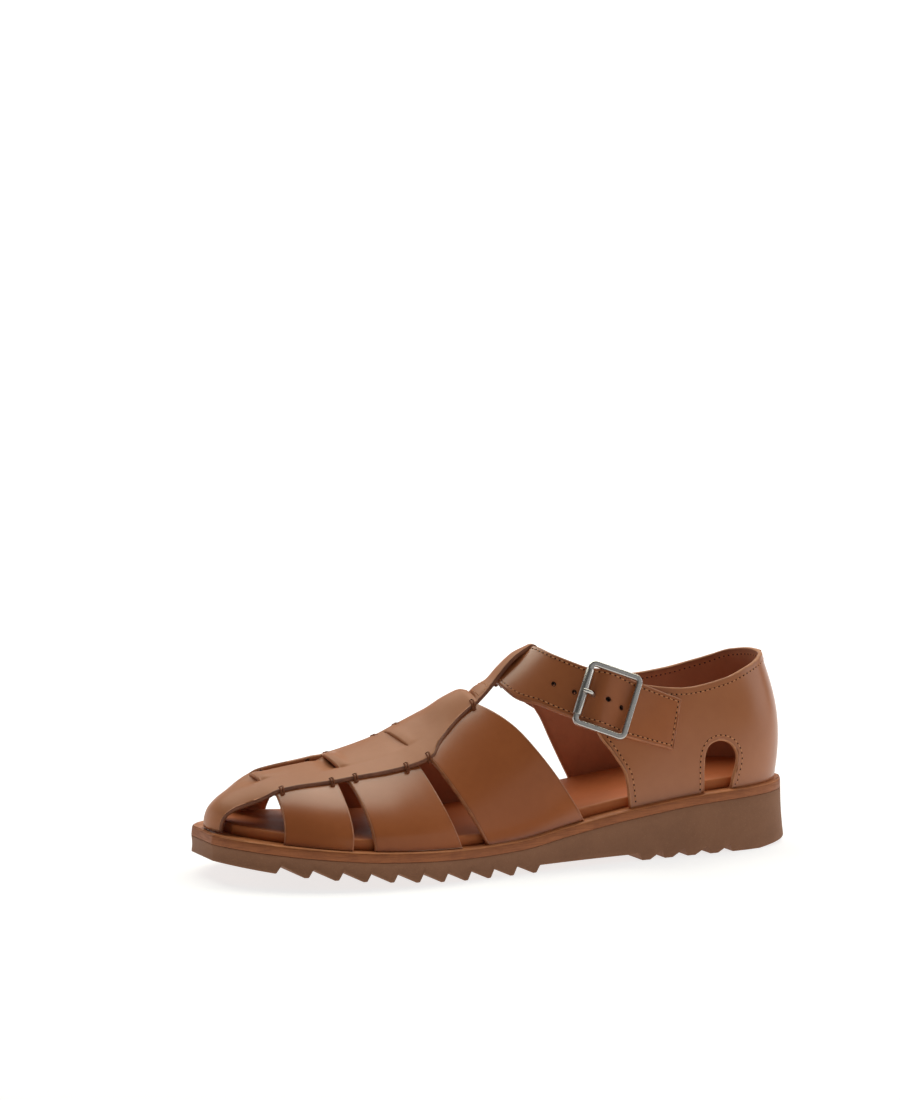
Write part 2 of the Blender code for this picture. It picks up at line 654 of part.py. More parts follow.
def surface_frame(along, turn, heading):
    """Frame on the last: X along a heading, Z outwards, and its origin on the inner surface."""
    point = section_point(along, turn)
    normal = Vector(normal_on(section_point, along, turn, NORMAL_STEP, NORMAL_TURN))
    ahead = (heading - normal * heading.dot(normal)).normalized()
    axes = Matrix((ahead, normal.cross(ahead), normal)).transposed().to_4x4()
    return Matrix.Translation(Vector(point) * MM) @ axes


def buckle_frame_matrix():
    strap = band_surface(ANKLE_STRAP)
    share = np.array(BUCKLE_ROWS) / (len(ANKLE_STRAP) - 1)
    before, after = strap(np.array([0.5, 0.5]), share)
    along = np.float64(BUCKLE_ALONG * GRADE_LENGTH)
    return surface_frame(along, np.float64(BUCKLE_TURN), Vector(after - before))


def tube(name, points, diameter, closed=False):
    curve = bpy.data.curves.new(name, "CURVE")
    curve.dimensions = "3D"
    curve.bevel_depth = diameter * MM / 2.0
    curve.bevel_resolution = 2
    curve.use_fill_caps = True
    spline = curve.splines.new("POLY")
    spline.points.add(len(points) - 1)
    for point, place in zip(spline.points, points):
        point.co = (*[value * MM for value in place], 1.0)
    spline.use_cyclic_u = closed
    return bpy.data.objects.new(name, curve)


def rounded_rectangle(length, width, radius):
    corners = [(1, 1, 0.0), (-1, 1, 0.5), (-1, -1, 1.0), (1, -1, 1.5)]
    points = []
    for side_x, side_y, start in corners:
        centre_x, centre_y = side_x * (length / 2.0 - radius), side_y * (width / 2.0 - radius)
        for turn in np.linspace(start, start + 0.5, CORNER_POINTS) * math.pi:
            x, y = centre_x + radius * math.cos(turn), centre_y + radius * math.sin(turn)
            points.append((x, y, FRAME_LIFT))
    return points


def placed_tube(name, points, diameter, place, closed=False):
    obj = tube(name, points, diameter, closed)
    obj.matrix_world = place
    return mesh_of_curve(obj)


def build_buckle(collection, cutters, materials):
    place = buckle_frame_matrix()
    middle_length, middle_width = BUCKLE_LENGTH - WIRE, BUCKLE_WIDTH - WIRE
    rim = rounded_rectangle(middle_length, middle_width, BUCKLE_CORNER)
    frame = link(placed_tube("buckle_frame", rim, WIRE, place, closed=True), collection, materials["metal"])
    half = middle_width / 2.0
    rod = [(0.0, -half, FRAME_LIFT), (0.0, -half, CENTRE_BAR_LIFT), (0.0, half, CENTRE_BAR_LIFT),
           (0.0, half, FRAME_LIFT)]
    centre_bar = as_cutter(link(placed_tube("centre_bar", rod, CENTRE_BAR, place), cutters))
    boolean(frame, "UNION", centre_bar)

    front = -middle_length / 2.0
    ends = [(front, side * ROLLER_WIDTH / 2.0, FRAME_LIFT) for side in (-1.0, 1.0)]
    roller = link(placed_tube("buckle_roller", ends, ROLLER_OUTER, place), collection, materials["metal"])
    past_ends = [(front, side * ROLLER_WIDTH, FRAME_LIFT) for side in (-1.0, 1.0)]
    bore = as_cutter(link(placed_tube("roller_bore", past_ends, ROLLER_BORE, place), cutters))
    boolean(roller, "DIFFERENCE", bore)

    route = [(x, 0.0, z) for x, z in PRONG_ROUTE]
    link(placed_tube("buckle_prong", route, PRONG, place), collection, materials["metal"])
    hole = placed_tube("prong_hole", route, PRONG + PRONG_PLAY, place)
    return as_cutter(link(hole, cutters))


def slit_cutter(slit, cutters):
    along = np.float64(slit * GRADE_LENGTH)
    turn = turn_at_side(along, np.float64(SLIT_SIDE))
    bpy.ops.mesh.primitive_cube_add(size=1.0)
    cutter = bpy.context.object
    cutter.name = "slit_%d" % round(slit)
    cutter.data.transform(Matrix.Diagonal((SLIT_WIDTH * MM, SLIT_LENGTH * MM, SLIT_DEPTH * MM, 1.0)))
    cutter.matrix_world = surface_frame(along, turn, Vector((1.0, 0.0, 0.0)))
    for collection in list(cutter.users_collection):
        collection.objects.unlink(cutter)
    return as_cutter(link(cutter, cutters))


def build_upper(collection, cutters, materials, prong_hole):
    quarter = leather_sheet("upper", quarter_point, QUARTER_GRID, LEATHER)
    upper = link(quarter, collection, materials["leather"])
    pieces = [leather_sheet("ankle_strap", band_surface(ANKLE_STRAP), ANKLE_GRID, STRAP_LEATHER),
              leather_sheet("bar", bar_surface, BAR_GRID, LEATHER)]
    for name, rows in CROSS_STRAPS.items():
        pieces.append(leather_sheet(name, band_surface(rows), STRAP_GRID, LEATHER))
    for piece in pieces:
        boolean(upper, "UNION", as_cutter(link(piece, cutters)))
    boolean(upper, "UNION", loop_fold(cutters))

    window_curve = outline_plate("window", window_outline(), 2.0 * BALL_WIDTH)
    window_curve.rotation_euler.x = math.pi / 2.0
    window_curve.location.x = WINDOW_ALONG * GRADE_LENGTH * MM
    window = as_cutter(link(mesh_of_curve(window_curve), cutters))
    for cutter in [window, prong_hole] + [slit_cutter(slit, cutters) for slit in BAR_SLITS]:
        boolean(upper, "DIFFERENCE", cutter)
    return upper


def tab_surface(lap_share, rise_share):
    """Heel tab on the outside of the closed heel, with its lower edge rounded."""
    lap = TAB_END + (TAB_START - TAB_END) * lap_share
    low = TAB_LOW + TAB_ROUND * (2.0 * lap_share - 1.0) ** 4
    rise = low + (TAB_TOP - low) * rise_share
    normal = normal_on(heel_point, lap, rise, -NORMAL_STEP, NORMAL_TURN)
    return heel_point(lap, rise) + normal * (LEATHER + CLEARANCE)


def build():
    clear_scene()
    collection = new_collection("fisherman_sandal")
    cutters = new_collection("cutters")
    materials = {name: make_material(name) for name in COLOURS}
    build_sole(collection, cutters, materials)
    prong_hole = build_buckle(collection, cutters, materials)
    build_upper(collection, cutters, materials, prong_hole)
    link(leather_sheet("heel_tab", tab_surface, TAB_GRID, TAB_THICKNESS), collection, materials["leather"])


build()
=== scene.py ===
import math

import bmesh
import bpy
import numpy as np
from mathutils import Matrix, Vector, kdtree


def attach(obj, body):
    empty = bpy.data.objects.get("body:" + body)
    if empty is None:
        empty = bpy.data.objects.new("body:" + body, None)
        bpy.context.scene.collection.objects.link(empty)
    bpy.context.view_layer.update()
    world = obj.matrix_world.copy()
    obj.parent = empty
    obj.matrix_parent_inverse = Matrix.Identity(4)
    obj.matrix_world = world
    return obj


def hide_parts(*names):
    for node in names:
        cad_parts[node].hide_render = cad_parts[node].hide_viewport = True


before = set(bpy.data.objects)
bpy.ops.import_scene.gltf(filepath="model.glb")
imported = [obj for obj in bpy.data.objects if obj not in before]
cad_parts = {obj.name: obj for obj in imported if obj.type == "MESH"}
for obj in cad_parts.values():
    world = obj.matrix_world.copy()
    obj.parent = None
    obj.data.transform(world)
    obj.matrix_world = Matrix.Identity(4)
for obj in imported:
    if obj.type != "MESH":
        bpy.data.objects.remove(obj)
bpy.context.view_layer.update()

mm = 0.001  # the tables are in millimetres, the scene in metres
quarterTurn = math.pi / 2.0


# tables and curves

def smoothAt(table, column, at, place="along"):
    places, values = np.array(table[place], float), np.array(table[column], float)
    steps = np.diff(places)
    slopes = np.diff(values) / steps
    turning = slopes[:-1] * slopes[1:] <= 0.0
    total = np.where(turning, 1.0, slopes[:-1] + slopes[1:])
    inner = np.where(turning, 0.0, 2.0 * slopes[:-1] * slopes[1:] / total)
    tangents = np.concatenate([slopes[:1], inner, slopes[-1:]])
    at = np.clip(at, places[0], places[-1])
    span = np.clip(np.searchsorted(places, at) - 1, 0, len(steps) - 1)
    step = steps[span]
    share = (at - places[span]) / step
    rest = 1.0 - share
    start = values[span] * (1.0 + 2.0 * share) + tangents[span] * step * share
    end = values[span + 1] * (3.0 - 2.0 * share) - tangents[span + 1] * step * rest
    return start * rest ** 2 + end * share ** 2


def curveThrough(values, share):
    values = np.asarray(values, float)
    place = np.clip(share, 0.0, 1.0) * (len(values) - 1)
    span = np.clip(np.asarray(place).astype(int), 0, len(values) - 2)
    rest = place - span
    padded = np.concatenate([[2.0 * values[0] - values[1]], values, [2.0 * values[-1] - values[-2]]])
    before, start, end, after = (padded[span + offset] for offset in range(4))
    bend = 2.0 * before - 5.0 * start + 4.0 * end - after + rest * (3.0 * (start - end) + after - before)
    return start + 0.5 * rest * (end - before + rest * bend)


def ease(share):
    share = np.clip(share, 0.0, 1.0)
    return share * share * (3.0 - 2.0 * share)


def unit(vectors):
    return vectors / np.maximum(np.linalg.norm(vectors, axis=-1), 1e-9)[..., None]


def distances(line):
    return np.concatenate([[0.0], np.cumsum(np.linalg.norm(np.diff(line, axis=0), axis=1))])


# plan and side view of the sole, the same drawing as the CAD

soleShape = {
    "edge": [(-143.9, 0.0), (-135.4, 24.0), (-113.0, 35.5), (-71.0, 38.5), (-26.0, 42.0), (19.0, 48.0),
             (59.0, 52.7), (94.0, 48.5), (122.0, 34.5), (141.5, 11.0), (145.0, -12.0), (134.0, -33.0),
             (110.0, -47.5), (76.0, -52.7), (39.0, -47.0), (-1.0, -38.5), (-41.0, -35.0), (-81.0, -36.0),
             (-115.0, -35.5), (-136.3, -22.5)],
    "edgeSteps": 14,
    "along": [-146.0, -100.0, -50.0, -17.0, 10.0, 35.0, 75.0, 111.0, 146.0],
    "tread": [0.0, 0.0, 0.0, 0.0, 0.0, 0.3, 2.6, 5.6, 10.5],
    "rubberTop": [25.7, 24.3, 19.6, 15.0, 11.0, 10.1, 11.4, 14.3, 17.8],
    "gap": 0.3,
    "runner": 4.0,
    "runnerSeat": 0.02,
    "footbed": 4.5,
    "footbedSeat": 0.05,
    "footGap": 0.5,
    "footInset": 5.0,
    "footInsetToe": 8.0,
    "toeStart": 95.0,
    "toeReach": 45.0,
    "footbedInset": 2.5,
}


def closedCurve(points, steps):
    points = np.array(points, float)
    count = len(points)
    shares = np.arange(steps)[:, None] / steps
    spans = []
    for index in range(count):
        before, start = points[index - 1], points[index]
        end, after = points[(index + 1) % count], points[(index + 2) % count]
        reach = np.linalg.norm(end - start) / 3.0
        leave = start + unit(end - before) * reach
        arrive = end - unit(after - start) * reach
        rest = 1.0 - shares
        spans.append(start * rest ** 3 + 3.0 * leave * shares * rest ** 2
                     + 3.0 * arrive * shares ** 2 * rest + end * shares ** 3)
    return np.vstack(spans)


def outward(line):
    chords = np.roll(line, -1, axis=0) - np.roll(line, 1, axis=0)
    return unit(np.stack([-chords[:, 1], chords[:, 0]], axis=1))


def rubberTop(along):
    return smoothAt(soleShape, "rubberTop", along)


def treadTips(along):
    return smoothAt(soleShape, "tread", along)


def runnerBottom(along):
    return rubberTop(along) + soleShape["runnerSeat"]


def runnerTop(along):
    return rubberTop(along) + soleShape["gap"] + soleShape["runner"]


def footFloor(along):
    return runnerTop(along) + soleShape["footGap"]


def footbedBottom(along):
    return runnerTop(along) + soleShape["footbedSeat"]


def footInset(along):
    toe = ease((along - soleShape["toeStart"]) / soleShape["toeReach"])
    return soleShape["footInset"] + (soleShape["footInsetToe"] - soleShape["footInset"]) * toe


soleLine = closedCurve(soleShape["edge"], soleShape["edgeSteps"])
footLine = soleLine - outward(soleLine) * footInset(soleLine[:, 0])[:, None]
footbedLine = footLine - outward(footLine) * soleShape["footbedInset"]


def twoSides(line):
    toe = int(line[:, 0].argmax())
    heel = int(line[:, 0].argmin())
    turned = np.roll(line, -heel, axis=0)
    toe = (toe - heel) % len(line)
    outer = turned[:toe + 1]
    inner = np.vstack([turned[toe:], turned[:1]])[::-1]
    return outer, inner


outerFoot, innerFoot = twoSides(footLine)


# the last: the inside of the upper

lastShape = {
    "along": [-115.0, -80.0, -45.0, -18.0, 0.0, 20.0, 40.0, 60.0, 85.0, 110.0, 120.0, 130.0, 137.0, 138.9, 139.2],
    "side": [0.0, -1.0, -7.0, -12.5, -12.0, -11.0, -10.5, -10.0, -10.0, -8.0, -7.0, -6.0, -5.0, -5.0, -5.0],
    "height": [127.0, 123.0, 106.0, 88.5, 78.0, 69.0, 60.0, 53.0, 47.2, 43.8, 41.0, 36.0, 30.5, 26.0, 22.0],
    "outer": [2.0, 2.0, 1.8, 1.52, 1.42, 1.38, 1.38, 1.42, 1.5, 1.5, 1.55, 1.6, 1.7, 1.8, 1.8],
    "inner": [2.0, 2.0, 1.9, 1.8, 1.8, 1.9, 1.95, 2.0, 2.0, 2.0, 1.95, 1.9, 1.8, 1.8, 1.8],
    "toeOuter": 28.0,
    "toeInner": -33.0,
    "toeBlend": 3.0,
    "toeReach": 60.0,
    "ridgeBack": -90.0,
    "ridgeReach": 20.0,
    "bulge": 2.6,
    "bulgeStart": -92.0,
    "bulgeReach": 40.0,
    "bulgeTop": 0.55,
    "normalStep": 0.2,
    "normalTurn": 0.004,
}


def sideOfFoot(along, outer):
    outerSide = np.interp(along, outerFoot[:, 0], outerFoot[:, 1])
    innerSide = np.interp(along, innerFoot[:, 0], innerFoot[:, 1])
    side = np.where(outer, outerSide, innerSide)
    toe = np.where(outer, lastShape["toeOuter"], lastShape["toeInner"])
    wider = 0.5 * (side + toe + np.where(outer, 1.0, -1.0) * np.hypot(side - toe, lastShape["toeBlend"]))
    return np.where(along > 0.0, side + (wider - side) * ease(along / lastShape["toeReach"]), side)


def ridgeAt(along):
    past = np.maximum(lastShape["ridgeBack"] - along, 0.0)
    drawn = along + past - lastShape["ridgeReach"] * np.tanh(past / lastShape["ridgeReach"])
    return drawn, smoothAt(lastShape, "side", drawn), smoothAt(lastShape, "height", drawn)


def fullness(along, outer):
    return np.where(outer, smoothAt(lastShape, "outer", along), smoothAt(lastShape, "inner", along))


def lastPoint(footX, footY, turn):
    ridgeX, ridgeY, ridgeZ = ridgeAt(footX)
    power = 2.0 / fullness(footX, footY > ridgeY)
    angle = np.clip(np.abs(turn), 0.0, 1.0) * quarterTurn
    out = np.sin(angle) ** power
    up = np.clip(np.cos(angle), 0.0, 1.0) ** power
    reach = np.stack([footX - ridgeX, footY - ridgeY], axis=-1)
    bulge = lastShape["bulge"] * ease((lastShape["bulgeStart"] - footX) / lastShape["bulgeReach"])
    bulge = bulge * np.sin(math.pi * np.clip(up / lastShape["bulgeTop"], 0.0, 1.0))
    out = out + bulge / np.linalg.norm(reach, axis=-1)
    floor = footFloor(footX)
    return np.stack([ridgeX + reach[..., 0] * out, ridgeY + reach[..., 1] * out,
                     floor + (ridgeZ - floor) * up], axis=-1)


def sectionPoint(along, turn):
    return lastPoint(along, sideOfFoot(along, turn >= 0.0), turn)


def turnAtSide(along, side):
    ridgeY = ridgeAt(along)[1]
    outer = side >= ridgeY
    share = np.clip((side - ridgeY) / (sideOfFoot(along, outer) - ridgeY), 0.0, 1.0)
    turn = np.arcsin(share ** (fullness(along, outer) / 2.0)) * 2.0 / math.pi
    return np.where(outer, turn, -turn)


def turnAtHeight(footX, footY, height):
    ridgeY, ridgeZ = ridgeAt(footX)[1:]
    floor = footFloor(footX)
    share = np.clip((height - floor) / (ridgeZ - floor), 0.0, 1.0)
    return np.arccos(share ** (fullness(footX, footY > ridgeY) / 2.0)) * 2.0 / math.pi


footLoop = np.vstack([footLine, footLine[:1]])
footLaps = distances(footLoop)


def footAtLap(lap):
    place = np.mod(lap, footLaps[-1])
    return np.interp(place, footLaps, footLoop[:, 0]), np.interp(place, footLaps, footLoop[:, 1])


def lapAt(along, outer):
    toe = int(footLine[:, 0].argmax())
    if outer:
        return np.interp(along, footLine[:toe + 1, 0], footLaps[:toe + 1])
    back = footLoop[toe:][::-1]
    return -np.interp(along, back[:, 0], footLaps[-1] - footLaps[toe:][::-1])


def normalOn(surface, first, second, firstStep, secondStep):
    across = surface(first + firstStep, second) - surface(first - firstStep, second)
    upward = surface(first, second + secondStep) - surface(first, second - secondStep)
    return unit(np.cross(across, upward))


def aboveLast(along, turn, lift):
    normal = normalOn(sectionPoint, along, turn, lastShape["normalStep"], lastShape["normalTurn"])
    return sectionPoint(along, turn) + normal * np.asarray(lift)[..., None]


def bandSurface(rows):
    columns = list(zip(*rows))

    def surface(across, along):
        front, frontTurn, rear, rearTurn, lift = (curveThrough(column, along) for column in columns)
        return aboveLast(rear + (front - rear) * across, rearTurn + (frontTurn - rearTurn) * across, lift)
    return surface


print("drawing laid out")


# node groups and materials

def newGroup(name, inputs, outputs):
    group = bpy.data.node_groups.new(name, "ShaderNodeTree")
    for label, kind, value in inputs:
        socket = group.interface.new_socket(name=label, in_out="INPUT", socket_type=kind)
        socket.default_value = value
    for label, kind in outputs:
        group.interface.new_socket(name=label, in_out="OUTPUT", socket_type=kind)
    start = group.nodes.new("NodeGroupInput")
    end = group.nodes.new("NodeGroupOutput")
    return group, start.outputs, end.inputs


def wire(tree, source, target):
    # links another node's output, or sets a plain number or colour
    if isinstance(source, tuple):
        target.default_value = (*source, 1.0) if target.type == "RGBA" else source
    elif isinstance(source, (int, float)):
        target.default_value = source
    else:
        tree.links.new(target, source)


def addNode(tree, kind, **settings):
    node = tree.nodes.new(kind)
    for key, value in settings.items():
        setattr(node, key, value)
    return node


def mathNode(tree, operation, first, second):
    node = addNode(tree, "ShaderNodeMath", operation=operation)
    wire(tree, first, node.inputs[0])
    wire(tree, second, node.inputs[1])
    return node.outputs[0]


def weighed(tree, first, firstWeight, second, secondWeight):
    return mathNode(tree, "ADD", mathNode(tree, "MULTIPLY", first, firstWeight),
                    mathNode(tree, "MULTIPLY", second, secondWeight))


def blend(tree, share, first, second):
    node = addNode(tree, "ShaderNodeMix", data_type="RGBA")
    for name, value in (("Factor_Float", share), ("A_Color", first), ("B_Color", second)):
        wire(tree, value, next(item for item in node.inputs if item.identifier == name))
    return next(item for item in node.outputs if item.identifier == "Result_Color")


def remap(tree, value, low, high, toLow, toHigh, soft=False):
    node = addNode(tree, "ShaderNodeMapRange", interpolation_type="SMOOTHSTEP" if soft else "LINEAR")
    names = ("Value", "From Min", "From Max", "To Min", "To Max")
    for name, number in zip(names, (value, low, high, toLow, toHigh)):
        wire(tree, number, node.inputs[name])
    return node.outputs["Result"]


def noiseNode(tree, place, scale, detail=3.0, rough=0.55, distortion=0.0):
    node = addNode(tree, "ShaderNodeTexNoise")
    names = ("Vector", "Scale", "Detail", "Roughness", "Distortion")
    for name, value in zip(names, (place, scale, detail, rough, distortion)):
        wire(tree, value, node.inputs[name])
    return node.outputs["Fac"]


def placeNode(tree):
    return addNode(tree, "ShaderNodeTexCoord").outputs["Object"]


mottleMix = {"broad": 0.78, "fine": 0.22, "fineSize": 9.0, "spread": (0.3, 0.7)}


def makeMottle():
    # cloudy colour change of a dyed hide
    mix = mottleMix
    tree, given, result = newGroup("mottledTone", [
        ("Light", "NodeSocketColor", (0.4, 0.2, 0.1, 1.0)), ("Dark", "NodeSocketColor", (0.2, 0.1, 0.05, 1.0)),
        ("Size", "NodeSocketFloat", 40.0), ("Amount", "NodeSocketFloat", 0.6)], [("Colour", "NodeSocketColor")])
    place = placeNode(tree)
    broad = noiseNode(tree, place, given["Size"], 4.0, 0.6, 0.4)
    fine = noiseNode(tree, place, mathNode(tree, "MULTIPLY", given["Size"], mix["fineSize"]), 2.0, 0.5)
    both = weighed(tree, broad, mix["broad"], fine, mix["fine"])
    mask = mathNode(tree, "MULTIPLY", remap(tree, both, *mix["spread"], 0.0, 1.0, True), given["Amount"])
    wire(tree, blend(tree, mask, given["Light"], given["Dark"]), result["Colour"])
    return tree


grainMix = {"cells": 0.5, "fine": 0.35, "fineSize": 1.7, "fold": 8.0, "cloudSize": 0.6, "spread": (0.2, 0.8)}


def makeGrain():
    # pores and slow creases of smooth leather as one height, with a soft mask for its gloss
    mix = grainMix
    tree, given, result = newGroup("hideGrain", [
        ("Pores", "NodeSocketFloat", 900.0), ("Creases", "NodeSocketFloat", 120.0),
        ("Crease Share", "NodeSocketFloat", 0.4)], [("Height", "NodeSocketFloat"), ("Gloss", "NodeSocketFloat")])
    place = placeNode(tree)
    cells = addNode(tree, "ShaderNodeTexVoronoi", feature="SMOOTH_F1")
    wire(tree, place, cells.inputs["Vector"])
    wire(tree, given["Pores"], cells.inputs["Scale"])
    creases = mathNode(tree, "SUBTRACT", noiseNode(tree, place, given["Creases"], 2.0, 0.5, 0.3), 0.5)
    folded = mathNode(tree, "MULTIPLY", mathNode(tree, "MULTIPLY", creases, creases), mix["fold"])
    fine = noiseNode(tree, place, mathNode(tree, "MULTIPLY", given["Pores"], mix["fineSize"]), 2.0, 0.5)
    pores = weighed(tree, cells.outputs["Distance"], mix["cells"], fine, mix["fine"])
    folded = mathNode(tree, "MULTIPLY", folded, given["Crease Share"])
    wire(tree, mathNode(tree, "ADD", pores, folded), result["Height"])
    cloud = noiseNode(tree, place, mathNode(tree, "MULTIPLY", given["Creases"], mix["cloudSize"]), 1.0, 0.4)
    wire(tree, remap(tree, cloud, *mix["spread"], 0.0, 1.0, True), result["Gloss"])
    return tree


rimMix = {"unevenSize": 260.0, "spread": (0.3, 0.7), "wander": (-0.6, 0.6)}


def makeRimTone():
    # tone change towards a cut edge; "rim" holds the distance from it in millimetres
    mix = rimMix
    tree, given, result = newGroup("rimTone", [
        ("Colour", "NodeSocketColor", (0.4, 0.2, 0.1, 1.0)), ("Edge Colour", "NodeSocketColor", (0.2, 0.1, 0.05, 1.0)),
        ("Reach", "NodeSocketFloat", 3.0), ("Amount", "NodeSocketFloat", 0.6)], [("Colour", "NodeSocketColor")])
    distance = addNode(tree, "ShaderNodeAttribute", attribute_name="rim").outputs["Fac"]
    uneven = noiseNode(tree, placeNode(tree), mix["unevenSize"])
    bent = mathNode(tree, "ADD", distance, remap(tree, uneven, *mix["spread"], *mix["wander"]))
    mask = mathNode(tree, "MULTIPLY", remap(tree, bent, 0.0, given["Reach"], 1.0, 0.0), given["Amount"])
    wire(tree, blend(tree, mask, given["Colour"], given["Edge Colour"]), result["Colour"])
    return tree


def makeLayers():
    # noise drawn out in one direction: pressed layers of a board, or the brushing of metal
    tree, given, result = newGroup("drawnLayers", [
        ("Stretch", "NodeSocketVector", (1.0, 1.0, 1.0)), ("Size", "NodeSocketFloat", 100.0)],
        [("Mask", "NodeSocketFloat")])
    stretch = addNode(tree, "ShaderNodeMapping")
    wire(tree, placeNode(tree), stretch.inputs["Vector"])
    wire(tree, given["Stretch"], stretch.inputs["Scale"])
    wire(tree, noiseNode(tree, stretch.outputs["Vector"], given["Size"], 3.0, 0.6), result["Mask"])
    return tree


def makeTwist():
    # slanting ridges of a twisted thread
    tree, given, result = newGroup("threadTwist", [("Size", "NodeSocketFloat", 1000.0)],
                                   [("Height", "NodeSocketFloat")])
    twist = addNode(tree, "ShaderNodeTexWave", wave_type="BANDS", bands_direction="DIAGONAL")
    wire(tree, placeNode(tree), twist.inputs["Vector"])
    wire(tree, given["Size"], twist.inputs["Scale"])
    twist.inputs["Distortion"].default_value = 2.0
    wire(tree, twist.outputs["Fac"], result["Height"])
    return tree


mottleGroup, grainGroup, rimGroup = makeMottle(), makeGrain(), makeRimTone()
layerGroup, twistGroup = makeLayers(), makeTwist()


def useGroup(tree, group, **values):
    node = addNode(tree, "ShaderNodeGroup", node_tree=group)
    for label, value in values.items():
        wire(tree, value, node.inputs[label.replace("_", " ")])
    return node.outputs


def toneOf(tree, look):
    return useGroup(tree, mottleGroup, Light=look["light"], Dark=look["dark"], Size=look["size"],
                    Amount=look["amount"])["Colour"]


def grainOf(tree, look):
    return useGroup(tree, grainGroup, Pores=look["pores"], Creases=look["creases"], Crease_Share=look["share"])


def startMaterial(name):
    material = bpy.data.materials.new(name)
    material.use_nodes = True
    return material, material.node_tree, material.node_tree.nodes["Principled BSDF"].inputs


def addBump(tree, shader, height, look):
    bump = addNode(tree, "ShaderNodeBump")
    bump.inputs["Strength"].default_value = look["bump"]
    bump.inputs["Distance"].default_value = look["depth"] * mm
    wire(tree, height, bump.inputs["Height"])
    wire(tree, bump.outputs["Normal"], shader["Normal"])


leatherLooks = {
    "strapLeather": {"light": (0.415, 0.121, 0.035), "dark": (0.345, 0.096, 0.027), "size": 30.0, "amount": 0.6,
                     "edge": (0.22, 0.066, 0.024), "reach": 1.8, "edgeAmount": 0.5, "rough": (0.215, 0.255),
                     "specular": 0.5, "pores": 1100.0, "creases": 40.0, "share": 0.25, "bump": 0.07, "depth": 0.12},
    "ankleLeather": {"light": (0.4, 0.128, 0.044), "dark": (0.34, 0.104, 0.035), "size": 30.0, "amount": 0.6,
                     "edge": (0.24, 0.074, 0.028), "reach": 1.8, "edgeAmount": 0.4, "rough": (0.24, 0.28),
                     "specular": 0.5, "pores": 1100.0, "creases": 40.0, "share": 0.25, "bump": 0.07, "depth": 0.12},
    "barLeather": {"light": (0.475, 0.193, 0.091), "dark": (0.415, 0.162, 0.074), "size": 34.0, "amount": 0.6,
                   "edge": (0.24, 0.08, 0.033), "reach": 1.2, "edgeAmount": 0.5, "rough": (0.38, 0.44),
                   "specular": 0.13, "pores": 1000.0, "creases": 60.0, "share": 0.4, "bump": 0.12, "depth": 0.12},
    "quarterLeather": {"light": (0.41, 0.143, 0.052), "dark": (0.35, 0.116, 0.041), "size": 26.0, "amount": 0.6,
                       "edge": (0.28, 0.092, 0.036), "reach": 2.2, "edgeAmount": 0.4, "rough": (0.29, 0.34),
                       "specular": 0.5, "pores": 1000.0, "creases": 40.0, "share": 0.3, "bump": 0.09, "depth": 0.12},
    "lining": {"light": (0.53, 0.22, 0.115), "dark": (0.42, 0.165, 0.085), "size": 60.0, "amount": 0.6,
               "edge": (0.24, 0.072, 0.03), "reach": 2.5, "edgeAmount": 0.5, "rough": (0.6, 0.72),
               "specular": 0.3, "pores": 1300.0, "creases": 200.0, "share": 0.6, "bump": 0.3, "depth": 0.12},
    "footbedLeather": {"light": (0.47, 0.128, 0.036), "dark": (0.38, 0.097, 0.026), "size": 45.0, "amount": 0.6,
                       "edge": (0.56, 0.2, 0.07), "reach": 1.6, "edgeAmount": 0.4, "rough": (0.5, 0.6),
                       "specular": 0.2, "pores": 900.0, "creases": 100.0, "share": 0.5, "bump": 0.2, "depth": 0.12},
}


def makeLeather(name):
    look = leatherLooks[name]
    material, tree, shader = startMaterial(name)
    rim = useGroup(tree, rimGroup, Colour=toneOf(tree, look), Edge_Colour=look["edge"], Reach=look["reach"],
                   Amount=look["edgeAmount"])
    grain = grainOf(tree, look)
    wire(tree, rim["Colour"], shader["Base Color"])
    wire(tree, remap(tree, grain["Gloss"], 0.0, 1.0, *look["rough"]), shader["Roughness"])
    shader["Specular IOR Level"].default_value = look["specular"]
    addBump(tree, shader, grain["Height"], look)
    return material


edgeLooks = {
    "paintedEdge": {"light": (0.25, 0.087, 0.038), "dark": (0.14, 0.048, 0.022), "size": 160.0, "rough": 0.5},
    "burnishedEdge": {"light": (0.46, 0.16, 0.06), "dark": (0.3, 0.098, 0.037), "size": 180.0, "rough": 0.45},
    "rawEdge": {"light": (0.54, 0.225, 0.095), "dark": (0.38, 0.142, 0.056), "size": 220.0, "rough": 0.55},
}
edgeFinish = {"amount": 0.9, "pores": 1500.0, "creases": 500.0, "share": 0.8, "matter": 0.15, "bump": 0.35,
              "depth": 0.1}


def makeEdge(name):
    look = {**edgeFinish, **edgeLooks[name]}
    material, tree, shader = startMaterial(name)
    grain = grainOf(tree, look)
    wire(tree, toneOf(tree, look), shader["Base Color"])
    wire(tree, remap(tree, grain["Gloss"], 0.0, 1.0, look["rough"], look["rough"] + look["matter"]),
         shader["Roughness"])
    addBump(tree, shader, grain["Height"], look)
    return material


runnerLooks = {
    "runnerSide": {"light": (0.355, 0.115, 0.037), "dark": (0.25, 0.078, 0.026), "amount": 0.8, "layers": 0.7},
    # paler top and upper bevel: partly the board's top finish, partly a painted highlight
    "runnerTopAndPaintedHighlight": {"light": (0.56, 0.2, 0.068), "dark": (0.355, 0.115, 0.037), "amount": 0.6, "layers": 0.25},
}
runnerFinish = {"layer": (0.17, 0.053, 0.02), "specular": 0.25, "stretch": (1.0, 1.0, 14.0), "layerSize": 120.0,
                "size": 70.0, "layerSpread": (0.45, 0.75), "roughSpread": (0.3, 0.7), "rough": (0.5, 0.65),
                "pores": 1200.0, "creases": 300.0, "share": 0.7, "layerRise": 0.8, "bump": 0.3, "depth": 0.15}


